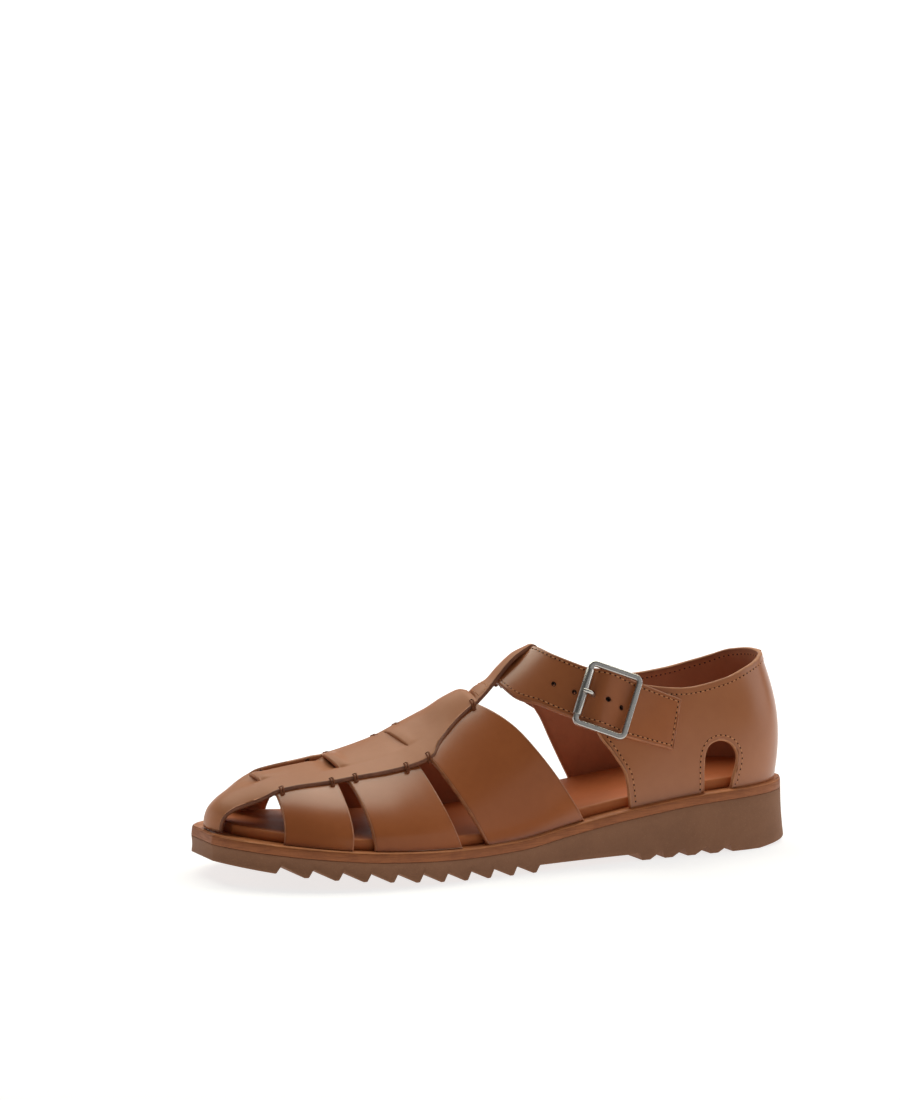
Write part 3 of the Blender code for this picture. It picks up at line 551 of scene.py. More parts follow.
def makeRunner(name):
    # pressed leather board: faint layers along the edge, a paler top and top bevel that is partly the board's finish
    # and partly a painted highlight
    look = {**runnerFinish, **runnerLooks[name]}
    material, tree, shader = startMaterial(name)
    layers = useGroup(tree, layerGroup, Stretch=look["stretch"], Size=look["layerSize"])["Mask"]
    mask = remap(tree, layers, *look["layerSpread"], 0.0, look["layers"])
    wire(tree, blend(tree, mask, toneOf(tree, look), look["layer"]), shader["Base Color"])
    wire(tree, remap(tree, layers, *look["roughSpread"], *look["rough"]), shader["Roughness"])
    shader["Specular IOR Level"].default_value = look["specular"]
    rise = mathNode(tree, "MULTIPLY", layers, look["layerRise"])
    addBump(tree, shader, mathNode(tree, "ADD", grainOf(tree, look)["Height"], rise), look)
    return material


rubberLook = {"light": (0.255, 0.112, 0.054), "dark": (0.205, 0.087, 0.041), "size": 55.0, "amount": 0.7,
              "dust": (0.34, 0.172, 0.096), "speckSize": 1400.0, "dustSpread": (0.56, 0.75), "dusty": 0.5,
              "roughSpread": (0.3, 0.7), "rough": (0.62, 0.8), "specular": 0.35,
              "pores": 1100.0, "creases": 400.0, "share": 0.3, "bump": 0.3, "depth": 0.15}


def makeRubber():
    look = rubberLook
    material, tree, shader = startMaterial("soleRubber")
    specks = noiseNode(tree, placeNode(tree), look["speckSize"], 2.0, 0.7)
    dusty = remap(tree, specks, *look["dustSpread"], 0.0, look["dusty"])
    wire(tree, blend(tree, dusty, toneOf(tree, look), look["dust"]), shader["Base Color"])
    wire(tree, remap(tree, specks, *look["roughSpread"], *look["rough"]), shader["Roughness"])
    shader["Specular IOR Level"].default_value = look["specular"]
    addBump(tree, shader, mathNode(tree, "ADD", grainOf(tree, look)["Height"], specks), look)
    return material


metalLook = {"light": (0.62, 0.6, 0.57), "dark": (0.53, 0.51, 0.48), "size": 60.0, "amount": 0.5,
             "stretch": (1.0, 4.0, 4.0), "brushSize": 70.0, "brushSpread": (0.3, 0.7), "rough": (0.25, 0.31),
             "bump": 0.02, "depth": 0.02}


def makeMetal():
    look = metalLook
    material, tree, shader = startMaterial("gunmetal")
    brushed = useGroup(tree, layerGroup, Stretch=look["stretch"], Size=look["brushSize"])["Mask"]
    wire(tree, toneOf(tree, look), shader["Base Color"])
    shader["Metallic"].default_value = 1.0
    wire(tree, remap(tree, brushed, *look["brushSpread"], *look["rough"]), shader["Roughness"])
    addBump(tree, shader, brushed, look)
    return material


threadLooks = {
    "tanThread": {"light": (0.66, 0.29, 0.12), "dark": (0.47, 0.18, 0.066), "twist": 1900.0, "sheen": 0.4},
    # near-black colour painted as the shade inside needle holes, punched holes and cord holes
    "paintedHoleShade": {"light": (0.05, 0.018, 0.009), "dark": (0.025, 0.01, 0.006), "twist": 1900.0, "sheen": 0.05},
    "cordThread": {"light": (0.26, 0.084, 0.034), "dark": (0.16, 0.05, 0.021), "twist": 900.0, "sheen": 0.15},
}
threadFinish = {"size": 500.0, "amount": 0.8, "rough": (0.55, 0.75), "bump": 0.4, "depth": 0.1}


def makeThread(name):
    look = {**threadFinish, **threadLooks[name]}
    material, tree, shader = startMaterial(name)
    twist = useGroup(tree, twistGroup, Size=look["twist"])["Height"]
    wire(tree, toneOf(tree, look), shader["Base Color"])
    wire(tree, remap(tree, twist, 0.0, 1.0, *look["rough"]), shader["Roughness"])
    shader["Specular IOR Level"].default_value = look["sheen"]
    addBump(tree, shader, twist, look)
    return material


looks = {name: makeLeather(name) for name in leatherLooks}
looks.update({name: makeEdge(name) for name in edgeLooks})
looks.update({name: makeThread(name) for name in threadLooks})
looks.update({name: makeRunner(name) for name in runnerLooks})
looks["soleRubber"] = makeRubber()
looks["gunmetal"] = makeMetal()
print("materials made")


# mesh helpers

def gridFaces(rows, columns):
    first = np.arange(rows - 1)[:, None] * columns + np.arange(columns - 1)[None, :]
    first = first.ravel()
    return np.stack([first, first + columns, first + columns + 1, first + 1], axis=1)


def gridShares(rows, columns):
    first, second = np.meshgrid(rows, columns, indexing="ij")
    return first.ravel(), second.ravel()


def vertexNormals(points, faces):
    corner = points[faces]
    normal = np.cross(corner[:, 2] - corner[:, 0], corner[:, 3] - corner[:, 1])
    total = np.zeros_like(points)
    for column in range(4):
        np.add.at(total, faces[:, column], normal)
    return unit(total)


def rimOrder(faces):
    edges = {(int(face[k]), int(face[(k + 1) % 4])) for face in faces for k in range(4)}
    following = {a: b for a, b in edges if (b, a) not in edges}
    preceding = {b: a for a, b in following.items()}
    loop = np.array(sorted(following))
    return loop, np.array([following[int(v)] for v in loop]), np.array([preceding[int(v)] for v in loop])


def trimmed(faces):
    # the points that a cut sheet still uses, and its faces numbered by them
    used, numbered = np.unique(faces, return_inverse=True)
    return used, numbered.reshape(faces.shape)


def tubeFaces(rows, count, closed=False):
    faces = []
    for row in range(rows if closed else rows - 1):
        after = (row + 1) % rows
        for k in range(count):
            n = (k + 1) % count
            faces.append((row * count + k, row * count + n, after * count + n, after * count + k))
    return faces


sheetShape = {"swellSize": 24.0, "waves": 7, "waveSizes": (0.7, 1.8), "waveStart": 6.28, "tightCorner": 0.3,
              "rimTurns": (0.33, 0.66, 1.0)}


def softWave(points, seed):
    # slow swell of hand-cut leather: a few sine waves in chance directions
    look = sheetShape
    chance = np.random.default_rng(seed)
    total = np.zeros(len(points))
    for _ in range(look["waves"]):
        direction = unit(chance.normal(size=3))
        length = look["swellSize"] * chance.uniform(*look["waveSizes"])
        total += np.sin(points @ direction * 2.0 * math.pi / length + chance.uniform(0.0, look["waveStart"]))
    return total / look["waves"]


def slab(points, faces, thickness, radius, backRadius=0.3, swell=0.0, seed=1, rimSlots=None):
    # leather sheet with a rounded rim; face slots: 0 grain side, 1 rim, 2 back
    points, faces = np.asarray(points, float), np.asarray(faces)
    normals = vertexNormals(points, faces)
    loop, following, preceding = rimOrder(faces)
    ahead, behind = points[following] - points[loop], points[preceding] - points[loop]
    inward = unit(np.cross(normals[loop], ahead - behind))
    folded = np.einsum("ij,ij->i", unit(ahead), unit(behind)) > sheetShape["tightCorner"]
    inward[folded] = -unit(unit(ahead) + unit(behind))[folded]

    def ring(inset, height):
        return points[loop] + inward * inset + normals[loop] * np.asarray(height)[..., None]

    height = thickness + swell * softWave(points, seed)
    outer, inner = points + normals * height[:, None], points.copy()
    outer[loop], inner[loop] = ring(radius, height[loop]), ring(backRadius, np.zeros(len(loop)))
    angles = np.array(sheetShape["rimTurns"]) * quarterTurn
    rings = [ring(radius * (1.0 - math.sin(a)), height[loop] - radius * (1.0 - math.cos(a))) for a in angles]
    rings.append(ring(0.0, np.full(len(loop), backRadius)))
    count, size = len(points), len(loop)
    position = np.full(count, -1)
    position[loop] = np.arange(size)
    ids = [loop] + [count + size * k + np.arange(size) for k in range(len(rings))]
    ids.append(count + size * len(rings) + loop)
    verts = np.vstack([outer] + rings + [inner])
    allFaces = [faces]
    for high, low in zip(ids[:-1], ids[1:]):
        near = position[following]
        allFaces.append(np.stack([high[near], high, low, low[near]], axis=1))
    allFaces.append(faces[:, ::-1] + count + size * len(rings))
    rimSlots = np.ones(size) if rimSlots is None else rimSlots[loop]
    slots = np.concatenate([np.zeros(len(faces)), np.tile(rimSlots, len(ids) - 1), np.full(len(faces), 2)])
    edge = points[loop[rimSlots > 0]]
    tree = kdtree.KDTree(len(edge))
    for index, point in enumerate(edge):
        tree.insert(point, index)
    tree.balance()
    rim = np.array([tree.find(point)[2] for point in points])
    rim = np.concatenate([rim] + [rim[loop]] * len(rings) + [rim])
    return {"verts": verts, "faces": np.vstack(allFaces), "slots": slots.astype(int), "rim": rim}


def makePiece(name, shape, materials, nodes=(), sharp=None):
    mesh = bpy.data.meshes.new(name)
    faces = shape["faces"]
    mesh.from_pydata((np.asarray(shape["verts"]) * mm).tolist(), [], [tuple(map(int, face)) for face in faces])
    for material in materials:
        mesh.materials.append(looks[material])
    if "slots" in shape:
        mesh.polygons.foreach_set("material_index", [int(slot) for slot in shape["slots"]])
    if "rim" in shape:
        mesh.attributes.new("rim", "FLOAT", "POINT").data.foreach_set("value", shape["rim"].astype(np.float32))
    mesh.polygons.foreach_set("use_smooth", [True] * len(faces))
    mesh.update()
    if sharp:
        mesh.set_sharp_from_angle(angle=math.radians(sharp))
    obj = bpy.data.objects.new(name, mesh)
    bpy.context.scene.collection.objects.link(obj)
    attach(obj, "root")
    if nodes:
        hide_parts(*nodes)
    return obj


def joined(shapes):
    verts, faces, slots, start = [], [], [], 0
    for shape in shapes:
        verts.append(np.asarray(shape["verts"]))
        faces += [tuple(int(v) + start for v in face) for face in shape["faces"]]
        slots += [int(slot) for slot in shape.get("slots", [0] * len(shape["faces"]))]
        start += len(shape["verts"])
    return {"verts": np.vstack(verts), "faces": faces, "slots": slots}


def sweep(path, radii, segments=12, profile=None, ups=None, closed=False):
    # tube or bar along a path, capped at both ends unless it is closed
    path = np.asarray(path, float)
    ahead = np.roll(path, -1, axis=0) - np.roll(path, 1, axis=0)
    if not closed:
        ahead[0], ahead[-1] = path[1] - path[0], path[-1] - path[-2]
    ahead = unit(ahead)
    if ups is None:
        up = np.cross(ahead[0], (0.0, 0.0, 1.0))
        up = unit(up if np.linalg.norm(up) > 0.1 else np.cross(ahead[0], (0.0, 1.0, 0.0)))
        ups = []
        for direction in ahead:
            up = unit(up - direction * np.dot(up, direction))
            ups.append(up)
    ups = np.asarray(ups)
    sides = np.cross(ahead, ups)
    if profile is None:
        turn = np.arange(segments) * 2.0 * math.pi / segments
        profile = np.stack([np.cos(turn), np.sin(turn)], axis=1)
    profile = np.asarray(profile)
    radii = np.broadcast_to(np.asarray(radii, float), (len(path),))
    verts = (path[:, None] + (sides[:, None] * profile[None, :, :1] + ups[:, None] * profile[None, :, 1:])
             * radii[:, None, None]).reshape(-1, 3)
    count, rows = len(profile), len(path)
    faces = [face[:1] + face[:0:-1] for face in tubeFaces(rows, count, closed)]
    if not closed:
        faces.append(tuple(range(count)))
        faces.append(tuple(range((rows - 1) * count, rows * count))[::-1])
    return {"verts": verts, "faces": faces}


def alongPath(points, values, places):
    lengths = distances(points)
    return np.stack([np.interp(places * lengths[-1], lengths, values[:, k]) for k in range(3)], axis=1)


threadShape = {"pitch": 2.5, "length": 1.6, "width": 0.54, "height": 0.3, "sink": 0.08, "lean": 0.12,
               "holeLength": 0.85, "holeWidth": 0.7, "holeHeight": 0.1, "feel": 0.2, "sides": 8,
               "rings": [-1.0, -0.86, -0.5, 0.0, 0.5, 0.86, 1.0], "fat": [0.25, 0.68, 0.95, 1.0, 0.95, 0.68, 0.25]}


def stitchRow(points, normals, seed):
    # separate stitches along a path, each a small bead, with a near-black bead between them as painted shade of the
    # needle hole
    look = threadShape
    chance = np.random.default_rng(seed)
    total = np.linalg.norm(np.diff(points, axis=0), axis=1).sum()
    count = max(int(total / look["pitch"]), 1)
    middles, gaps = (np.arange(count) + 0.5) / count, np.arange(count + 1) / count
    rings, fat, sides = np.array(look["rings"]), np.array(look["fat"]), look["sides"]
    turn = np.arange(sides) * 2.0 * math.pi / sides
    size = len(rings) * sides
    faces = tubeFaces(len(rings), sides) + [tuple(range(sides))[::-1], tuple(range(size - sides, size))]

    def beads(places, length, width, height, sink, lean):
        centre, normal = alongPath(points, points, places), unit(alongPath(points, normals, places))
        step = look["feel"] / max(total, 1.0)
        ahead = unit(alongPath(points, points, np.minimum(places + step, 1.0))
                     - alongPath(points, points, np.maximum(places - step, 0.0)))
        side = unit(np.cross(normal, ahead))
        tilt = chance.normal(0.0, lean, len(places))[:, None]
        ahead, side = unit(ahead + side * tilt), unit(side - ahead * tilt)
        along = np.repeat(rings * length / 2.0, sides)
        across = (fat[:, None] * np.cos(turn)[None, :]).ravel() * width / 2.0
        upward = (fat[:, None] * np.sin(turn)[None, :]).ravel() * height - sink
        verts = (centre[:, None] + ahead[:, None] * along[None, :, None] + side[:, None] * across[None, :, None]
                 + normal[:, None] * upward[None, :, None])
        return {"verts": verts.reshape(-1, 3),
                "faces": [tuple(v + size * bead for v in face) for bead in range(len(places)) for face in faces]}

    thread = beads(middles, look["length"], look["width"], look["height"], look["sink"], look["lean"])
    holes = beads(gaps, look["holeLength"], look["holeWidth"], look["holeHeight"], 0.0, 0.0)
    thread["slots"], holes["slots"] = [0] * len(thread["faces"]), [1] * len(holes["faces"])
    return [thread, holes]


def sewRows(name, rows, seed, between="paintedHoleShade"):
    shapes = []
    for number, (points, normals) in enumerate(rows, seed):
        shapes += stitchRow(points, normals, number)
    makePiece(name, joined(shapes), ["tanThread", between])


def rowOn(surface, first, second, steps, lift):
    # path on the grain side of a sheet, in shares of its two directions
    first, second = np.broadcast_arrays(np.asarray(first, float), np.asarray(second, float))
    normals = normalOn(surface, first, second, *steps)
    return surface(first, second) + normals * lift, normals


# sole: rubber, leather runner and footbed

rubberShape = {"flare": 1.8, "flareStart": -95.0, "flareReach": 40.0, "depth": 4.0, "steep": 2.0, "firstTip": 123.4,
               "pitch": 12.17, "teeth": 11, "tipFlat": 1.6, "arch": 3.2, "heelFront": -54.0, "heelPitch": 12.1,
               "heelTeeth": 4, "heelFlat": 4.4, "heelSteep": 1.2, "heelDepth": 3.6, "bevelStart": -119.0,
               "bevelRise": 3.5, "backEnd": -147.5, "toePlain": (124.5, 147.5), "toeSteps": 12,
               "stations": 170, "endClear": 0.3, "toothClear": 0.35, "wallRows": 7, "flareHeight": 25.7,
               "waist": 0.35, "bevel": 0.45, "bevelSteps": 2, "bevelAngle": 32.0}


def treadProfile():
    look = rubberShape
    corners = []
    for tooth in range(look["teeth"]):
        tip = look["firstTip"] - tooth * look["pitch"]
        root = tip - look["steep"]
        corners.append((tip, float(treadTips(tip))))
        if tooth:
            corners.append((tip + look["tipFlat"], float(treadTips(tip))))
        last = tooth == look["teeth"] - 1
        corners.append((root, look["arch"] if last else float(treadTips(root)) + look["depth"]))
    corners.append((look["heelFront"], look["arch"]))
    for tooth in range(look["heelTeeth"]):
        start = look["heelFront"] - look["heelSteep"] - tooth * look["heelPitch"]
        corners += [(start, 0.0), (start - look["heelFlat"], 0.0),
                    (start - look["heelPitch"] + look["heelSteep"], look["heelDepth"])]
    corners.append((look["heelFront"] - look["heelSteep"] - look["heelTeeth"] * look["heelPitch"], 0.0))
    corners += [(look["bevelStart"], 0.0), (look["backEnd"], look["bevelRise"])]
    corners += [(x, float(treadTips(x))) for x in np.linspace(*look["toePlain"], look["toeSteps"])]
    return np.array(sorted(corners))


def planStations(line, count, endShare=0.17):
    # stations along the sole, close together at both rounded ends
    turn = np.linspace(endShare, math.pi - endShare, count)
    low, high = line[:, 0].min(), line[:, 0].max()
    return (low + high) / 2.0 - (high - low) / 2.0 * np.cos(turn)


def buildRubber():
    look = rubberShape
    profile = treadProfile()
    outer, inner = twoSides(soleLine)
    stations = planStations(soleLine, look["stations"])
    first, last = stations[0] + look["endClear"], stations[-1] - look["endClear"]
    inside = profile[(profile[:, 0] > first) & (profile[:, 0] < last), 0]
    kept = stations[[np.abs(inside - x).min() > look["toothClear"] for x in stations]]
    stations = np.sort(np.concatenate([kept, inside]))
    bottom = np.interp(stations, profile[:, 0], profile[:, 1])
    top = rubberTop(stations)
    sides = [np.interp(stations, line[:, 0], line[:, 1]) for line in (outer, inner)]
    rows = np.linspace(0.0, 1.0, look["wallRows"])
    count, size = len(stations), len(rows)
    walls = []
    for line, sign in zip(sides, (1.0, -1.0)):
        edge = np.stack([stations, line], axis=1)
        chord = np.gradient(edge, axis=0)
        lean = unit(np.stack([-chord[:, 1], chord[:, 0]], axis=1)) * sign
        back = ease((look["flareStart"] - stations) / look["flareReach"])
        wall = []
        for share in rows:
            level = top + (bottom - top) * share
            push = look["flare"] * back * (1.0 - level / look["flareHeight"])
            push = push - look["waist"] * math.sin(math.pi * share)
            wall.append(np.column_stack([edge + lean * push[:, None], level]))
        walls.append(np.stack(wall, axis=1))
    verts = np.vstack([wall.reshape(-1, 3) for wall in walls])
    shift = count * size
    faces = [tuple(face) for side in (0, 1) for face in gridFaces(count, size) + side * shift]
    for k in range(count - 1):
        for row in (0, size - 1):
            a, b = k * size + row, (k + 1) * size + row
            faces.append((a, b, b + shift, a + shift))
    for k in (0, count - 1):
        for row in range(size - 1):
            a = k * size + row
            faces.append((a, a + 1, a + 1 + shift, a + shift))
    shell = bmesh.new()
    corners = [shell.verts.new(vert) for vert in verts]
    for face in faces:
        shell.faces.new([corners[v] for v in face])
    bmesh.ops.recalc_face_normals(shell, faces=shell.faces)
    shell.verts.index_update()
    shape = {"verts": verts, "faces": [tuple(v.index for v in face.verts) for face in shell.faces]}
    shell.free()
    sole = makePiece("rubber_sole", shape, ["soleRubber"], ["outsole"])
    bevel = sole.modifiers.new("softened_edges", "BEVEL")
    bevel.width = look["bevel"] * mm
    bevel.segments = look["bevelSteps"]
    bevel.limit_method = "ANGLE"
    bevel.angle_limit = math.radians(look["bevelAngle"])
    bevel.harden_normals = False
    return sole


def plateGrid(line, stations, columns, height):
    outer, inner = twoSides(line)
    along = planStations(line, stations)
    shares = np.linspace(0.0, 1.0, columns)
    low, high = (np.interp(along, side[:, 0], side[:, 1]) for side in (inner, outer))
    across = low[:, None] + (high - low)[:, None] * shares[None, :]
    x = np.repeat(along, columns)
    return np.column_stack([x, across.ravel(), height(x)]), gridFaces(stations, columns)


plateShape = {"stations": 190, "columns": 40, "runnerRound": 0.9, "runnerBack": 0.2, "runnerSwell": 0.05,
              "footbedRound": 1.3, "footbedBack": 0.3, "footbedSwell": 0.12}


def buildRunner():
    look = plateShape
    points, faces = plateGrid(soleLine, look["stations"], look["columns"], runnerBottom)
    thickness = soleShape["runner"] + soleShape["gap"] - soleShape["runnerSeat"]
    shape = slab(points, faces, thickness, look["runnerRound"], look["runnerBack"], look["runnerSwell"], 11)
    strips = len(sheetShape["rimTurns"]) + 2
    around = (len(shape["slots"]) - 2 * len(faces)) // strips
    shape["slots"][len(faces):len(faces) + 2 * around] = 0  # the top bevel takes the paler top tone, which paints a highlight there
    return makePiece("leather_runner", shape, ["runnerTopAndPaintedHighlight", "runnerSide", "runnerSide"], ["midsole"])


def buildFootbed():
    look = plateShape
    points, faces = plateGrid(footbedLine, look["stations"], look["columns"], footbedBottom)
    thickness = soleShape["footbed"] + soleShape["gap"] - soleShape["footbedSeat"]
    shape = slab(points, faces, thickness, look["footbedRound"], look["footbedBack"], look["footbedSwell"], 12)
    return makePiece("footbed_board", shape, ["footbedLeather", "footbedLeather", "lining"], ["insole"])


buildRubber()
buildRunner()
buildFootbed()
print("sole built")


# outline of the lengthwise bar, whose stiff leather presses the straps flat beneath it

barShape = {
    "along": [-23.5, -16.0, -9.0, -2.0, 4.0, 9.2, 11.0, 13.4, 19.0, 29.0, 41.0, 53.0, 89.0, 113.0, 122.0, 130.0, 135.0,
              139.2],
    "outer": [-10.0, -9.0, -7.5, -5.3, -2.9, -0.8, -0.1, 0.9, 2.8, 8.2, 15.5, 17.0, 14.7, 12.0, 10.8, 8.8, 6.8, 4.6],
    "inner": [-21.5, -19.5, -17.0, -15.0, -13.6, -12.8, -20.6, -20.9, -20.5, -19.5, -18.5, -18.0, -17.0, -17.0, -17.0,
              -17.0, -17.0, -17.0],
    "lift": [1.9, 3.5, 3.1, 1.9, 1.6, 1.6, 2.4, 2.6, 2.6, 3.0, 2.7, 1.9, 1.6, 1.5, 1.1, 0.5, 0.2, 0.0],
    "fall": [1.2, 1.8, 2.2, 2.4, 1.8, 3.0, 0.3, 0.0, 0.0, 0.0, 0.0, 0.0, 0.0, 0.0, 0.0, 0.0, 0.0, 0.0],
    "crowding": 1.6, "toeRound": 0.025, "toeRoundStart": 112.0, "toeRoundReach": 20.0,
    "flat": 0.75, "flatStart": 18.0, "flatEnd": 138.0, "flatReach": 16.0, "sink": 1.2, "sinkMargin": 0.2,
    "margin": 0.5, "marginReach": 5.5, "marginStart": 14.0,
    "thickness": 1.9, "round": 0.8, "swell": 0.08, "rows": 200, "columns": 36,
    "foldRadius": 1.15, "foldSteps": 9, "tuckEnd": -4.0, "tuckSteps": 12,
    "slits": [48.8, 80.5, 116.0], "slitFrom": [-16.0, -14.0, -14.0], "slitTo": [3.8, 4.5, -2.0],
    "slant": [4.6, 0.0, 0.0], "slantReach": 16.0,
    "open": [0.35, 1.0, 0.6], "crown": 0.45, "crownFall": 34.0, "lip": 1.7, "lipReach": 7.5, "rollIn": 0.6,
    "rollReach": 2.6, "dive": 2.2, "diveReach": 10.0, "overlap": 1.2, "rearShare": 0.5, "mouthRound": 0.6,
    "tellApart": 0.05,
    "railRise": 0.5, "railDrop": 1.2, "railReach": 5.0, "railGap": 0.1, "railEnd": 0.14,
    "box": (0.8, 6.4), "boxShares": (0.18, 0.84), "boxSteps": 30, "boxFeel": (0.2, 0.01),
}


def barShares(along, side):
    inner, outer = smoothAt(barShape, "inner", along), smoothAt(barShape, "outer", along)
    return inner, outer, (side - inner) / (outer - inner)


def pressed(along, side):
    # how far the rounded foot shape is flattened across the bar
    look = barShape
    inner, outer, share = barShares(along, side)
    low, high = (sectionPoint(along, turnAtSide(along, edge))[..., 2] for edge in (inner, outer))
    bulge = sectionPoint(along, turnAtSide(along, side))[..., 2] - low - (high - low) * share
    reach = ease((along - look["flatStart"]) / look["flatReach"]) * ease((look["flatEnd"] - along) / look["flatReach"])
    return np.where((share > 0.0) & (share < 1.0), look["flat"] * np.maximum(bulge, 0.0) * reach, 0.0)


def barLift(along, side):
    # height of the bar's underside above the last: its inner margin falls away, and so does its neck
    look = barShape
    inner, _, share = barShares(along, side)
    margin = look["margin"] * ease(1.0 - (side - inner) / look["marginReach"])
    margin = margin * ease((along - look["marginStart"]) / look["flatReach"])
    fall = smoothAt(look, "fall", along) * (1.0 - np.clip(share, 0.0, 1.0))
    return smoothAt(look, "lift", along) - pressed(along, side) - margin - fall


def sunk(along, side):
    # straps lie a little deeper under the bar, out of sight
    share = barShares(along, side)[2]
    return barShape["sink"] * ease(np.minimum(share, 1.0 - share) / barShape["sinkMargin"])


# three cross straps

strapShape = {
    "thickness": 2.0, "round": 0.75, "swell": 0.16, "across": 34, "along": 130, "settle": 0.9, "settleReach": 6.0,
    "rows": {
        "toe_strap": [(123.0, -1.0, 97.0, -1.0, 0.0), (118.0, -0.5, 90.0, -0.5, 0.0), (113.0, 0.0, 83.5, 0.0, 0.0),
                      (115.0, 0.5, 87.0, 0.5, 0.0), (118.5, 1.0, 91.5, 1.0, 0.0)],
        "ball_strap": [(88.0, -1.0, 45.0, -1.0, 0.0), (84.0, -0.5, 48.0, -0.5, 0.0), (80.5, 0.0, 48.5, 0.0, 0.0),
                       (81.0, 0.5, 45.5, 0.5, 0.0), (82.0, 1.0, 39.3, 1.0, 0.0)],
        "instep_strap": [(33.0, -1.0, -18.0, -1.0, 0.0), (42.0, -0.5, 0.0, -0.5, 0.6), (45.5, 0.0, 14.5, 0.0, 0.0),
                         (39.2, 0.5, -4.5, 0.5, 2.0), (25.5, 1.0, -26.5, 1.0, 0.0)],
    },
}


def settled(points, look):
    low = ease(1.0 - (points[:, 2] - footFloor(points[:, 0])) / look["settleReach"])
    points[:, 2] -= look["settle"] * low
    return points


def buildStraps():
    look = strapShape
    for seed, (name, rows) in enumerate(look["rows"].items(), 21):
        across, along = gridShares(np.linspace(0.0, 1.0, look["across"]), np.linspace(0.0, 1.0, look["along"]))
        points = bandSurface(rows)(across, along)
        points[:, 2] -= pressed(points[:, 0], points[:, 1]) + sunk(points[:, 0], points[:, 1])
        faces = gridFaces(look["across"], look["along"])
        shape = slab(settled(points, look), faces, look["thickness"], look["round"], swell=look["swell"], seed=seed)
        makePiece(name, shape, ["strapLeather", "burnishedEdge", "lining"], ["upper"])


buildStraps()
print("cross straps built")


# closed heel with its windows

quarterShape = {
    "rise": [0.0, 0.25, 0.42, 0.55, 0.66, 0.8, 1.0],
    "outer": [-50.2, -48.6, -43.0, -37.8, -35.6, -38.2, -46.0],
    "inner": [-54.0, -46.5, -41.0, -36.5, -31.0, -25.5, -26.0],
    "lap": [-125.0, -105.0, -75.0, -55.0, -36.0, -18.0, 0.0, 18.0, 36.0, 55.0, 75.0, 95.0, 115.0],
    "collar": [87.0, 80.5, 76.0, 77.5, 81.5, 86.8, 88.5, 88.3, 84.5, 79.5, 76.8, 79.0, 84.5],
    "thickness": 2.0, "round": 0.7, "swell": 0.12, "columns": 300, "levels": 64, "settle": 0.9, "settleReach": 5.0,
    "windowX": -98.0,
    "window": [(7.9, 0.0), (7.8, 0.3), (7.6, 0.55), (6.9, 0.76), (4.5, 0.93), (-0.6, 1.0), (-5.8, 0.93), (-8.9, 0.76),
               (-9.4, 0.56), (-7.9, 0.3), (-5.8, 0.0)],
    "windowTop": 51.5, "windowLaps": (20.0, 90.0), "windowProbes": 500, "windowMargin": 5, "outlineSteps": 241,
    "stripRings": 6, "drawnScale": (2.4, 0.6), "stitchInset": 3.0, "windowInset": 2.6, "windowFoot": 0.03,
    "sewnShares": (0.012, 0.988), "collarSteps": 400, "sewnRises": (0.04, 0.955), "sideSteps": 160,
    "heightAt": -100.0, "feel": (0.001, 0.004),
}


def collarAt(lap):
    return smoothAt(quarterShape, "collar", lap, "lap")


def frontLaps(rise):
    outer = lapAt(smoothAt(quarterShape, "outer", rise, "rise"), True)
    inner = lapAt(smoothAt(quarterShape, "inner", rise, "rise"), False)
    return outer, inner


def heelPoint(lap, rise):
    footX, footY = footAtLap(lap)
    floor = footFloor(footX)
    turn = turnAtHeight(footX, footY, floor + (collarAt(lap) - floor) * np.clip(rise, 0.0, 1.0))
    return lastPoint(footX, footY, turn)


def quarterPoint(share, rise):
    outer, inner = frontLaps(rise)
    return heelPoint(outer + (inner - outer) * share, rise)


def windowShares(outer, grow, count):
    # outline of a window as shares of the quarter, from its front foot over the arch to its rear foot
    look = quarterShape
    offsets, heights = (curveThrough(column, np.linspace(0.0, 1.0, count)) for column in zip(*look["window"]))
    floor = float(footFloor(look["windowX"]))
    line = np.stack([look["windowX"] + offsets, floor + (look["windowTop"] - floor) * heights], axis=1)
    chord = np.gradient(line, axis=0)
    line = line + unit(np.stack([chord[:, 1], -chord[:, 0]], axis=1)) * grow
    laps = np.linspace(*look["windowLaps"], look["windowProbes"]) * (1.0 if outer else -1.0)
    footX, footY = footAtLap(laps)
    shares, rises = [], []
    for x, z in line:
        places = lastPoint(footX, footY, turnAtHeight(footX, footY, z))[:, 0]
        lap = float(np.interp(x, places, laps))
        bottom = float(footFloor(footAtLap(lap)[0]))
        rise = (z - bottom) / (float(collarAt(lap)) - bottom)
        first, last = frontLaps(rise)
        shares.append((lap - first) / (last - first))
        rises.append(rise)
    return np.array(shares), np.clip(rises, 0.0, 1.0)


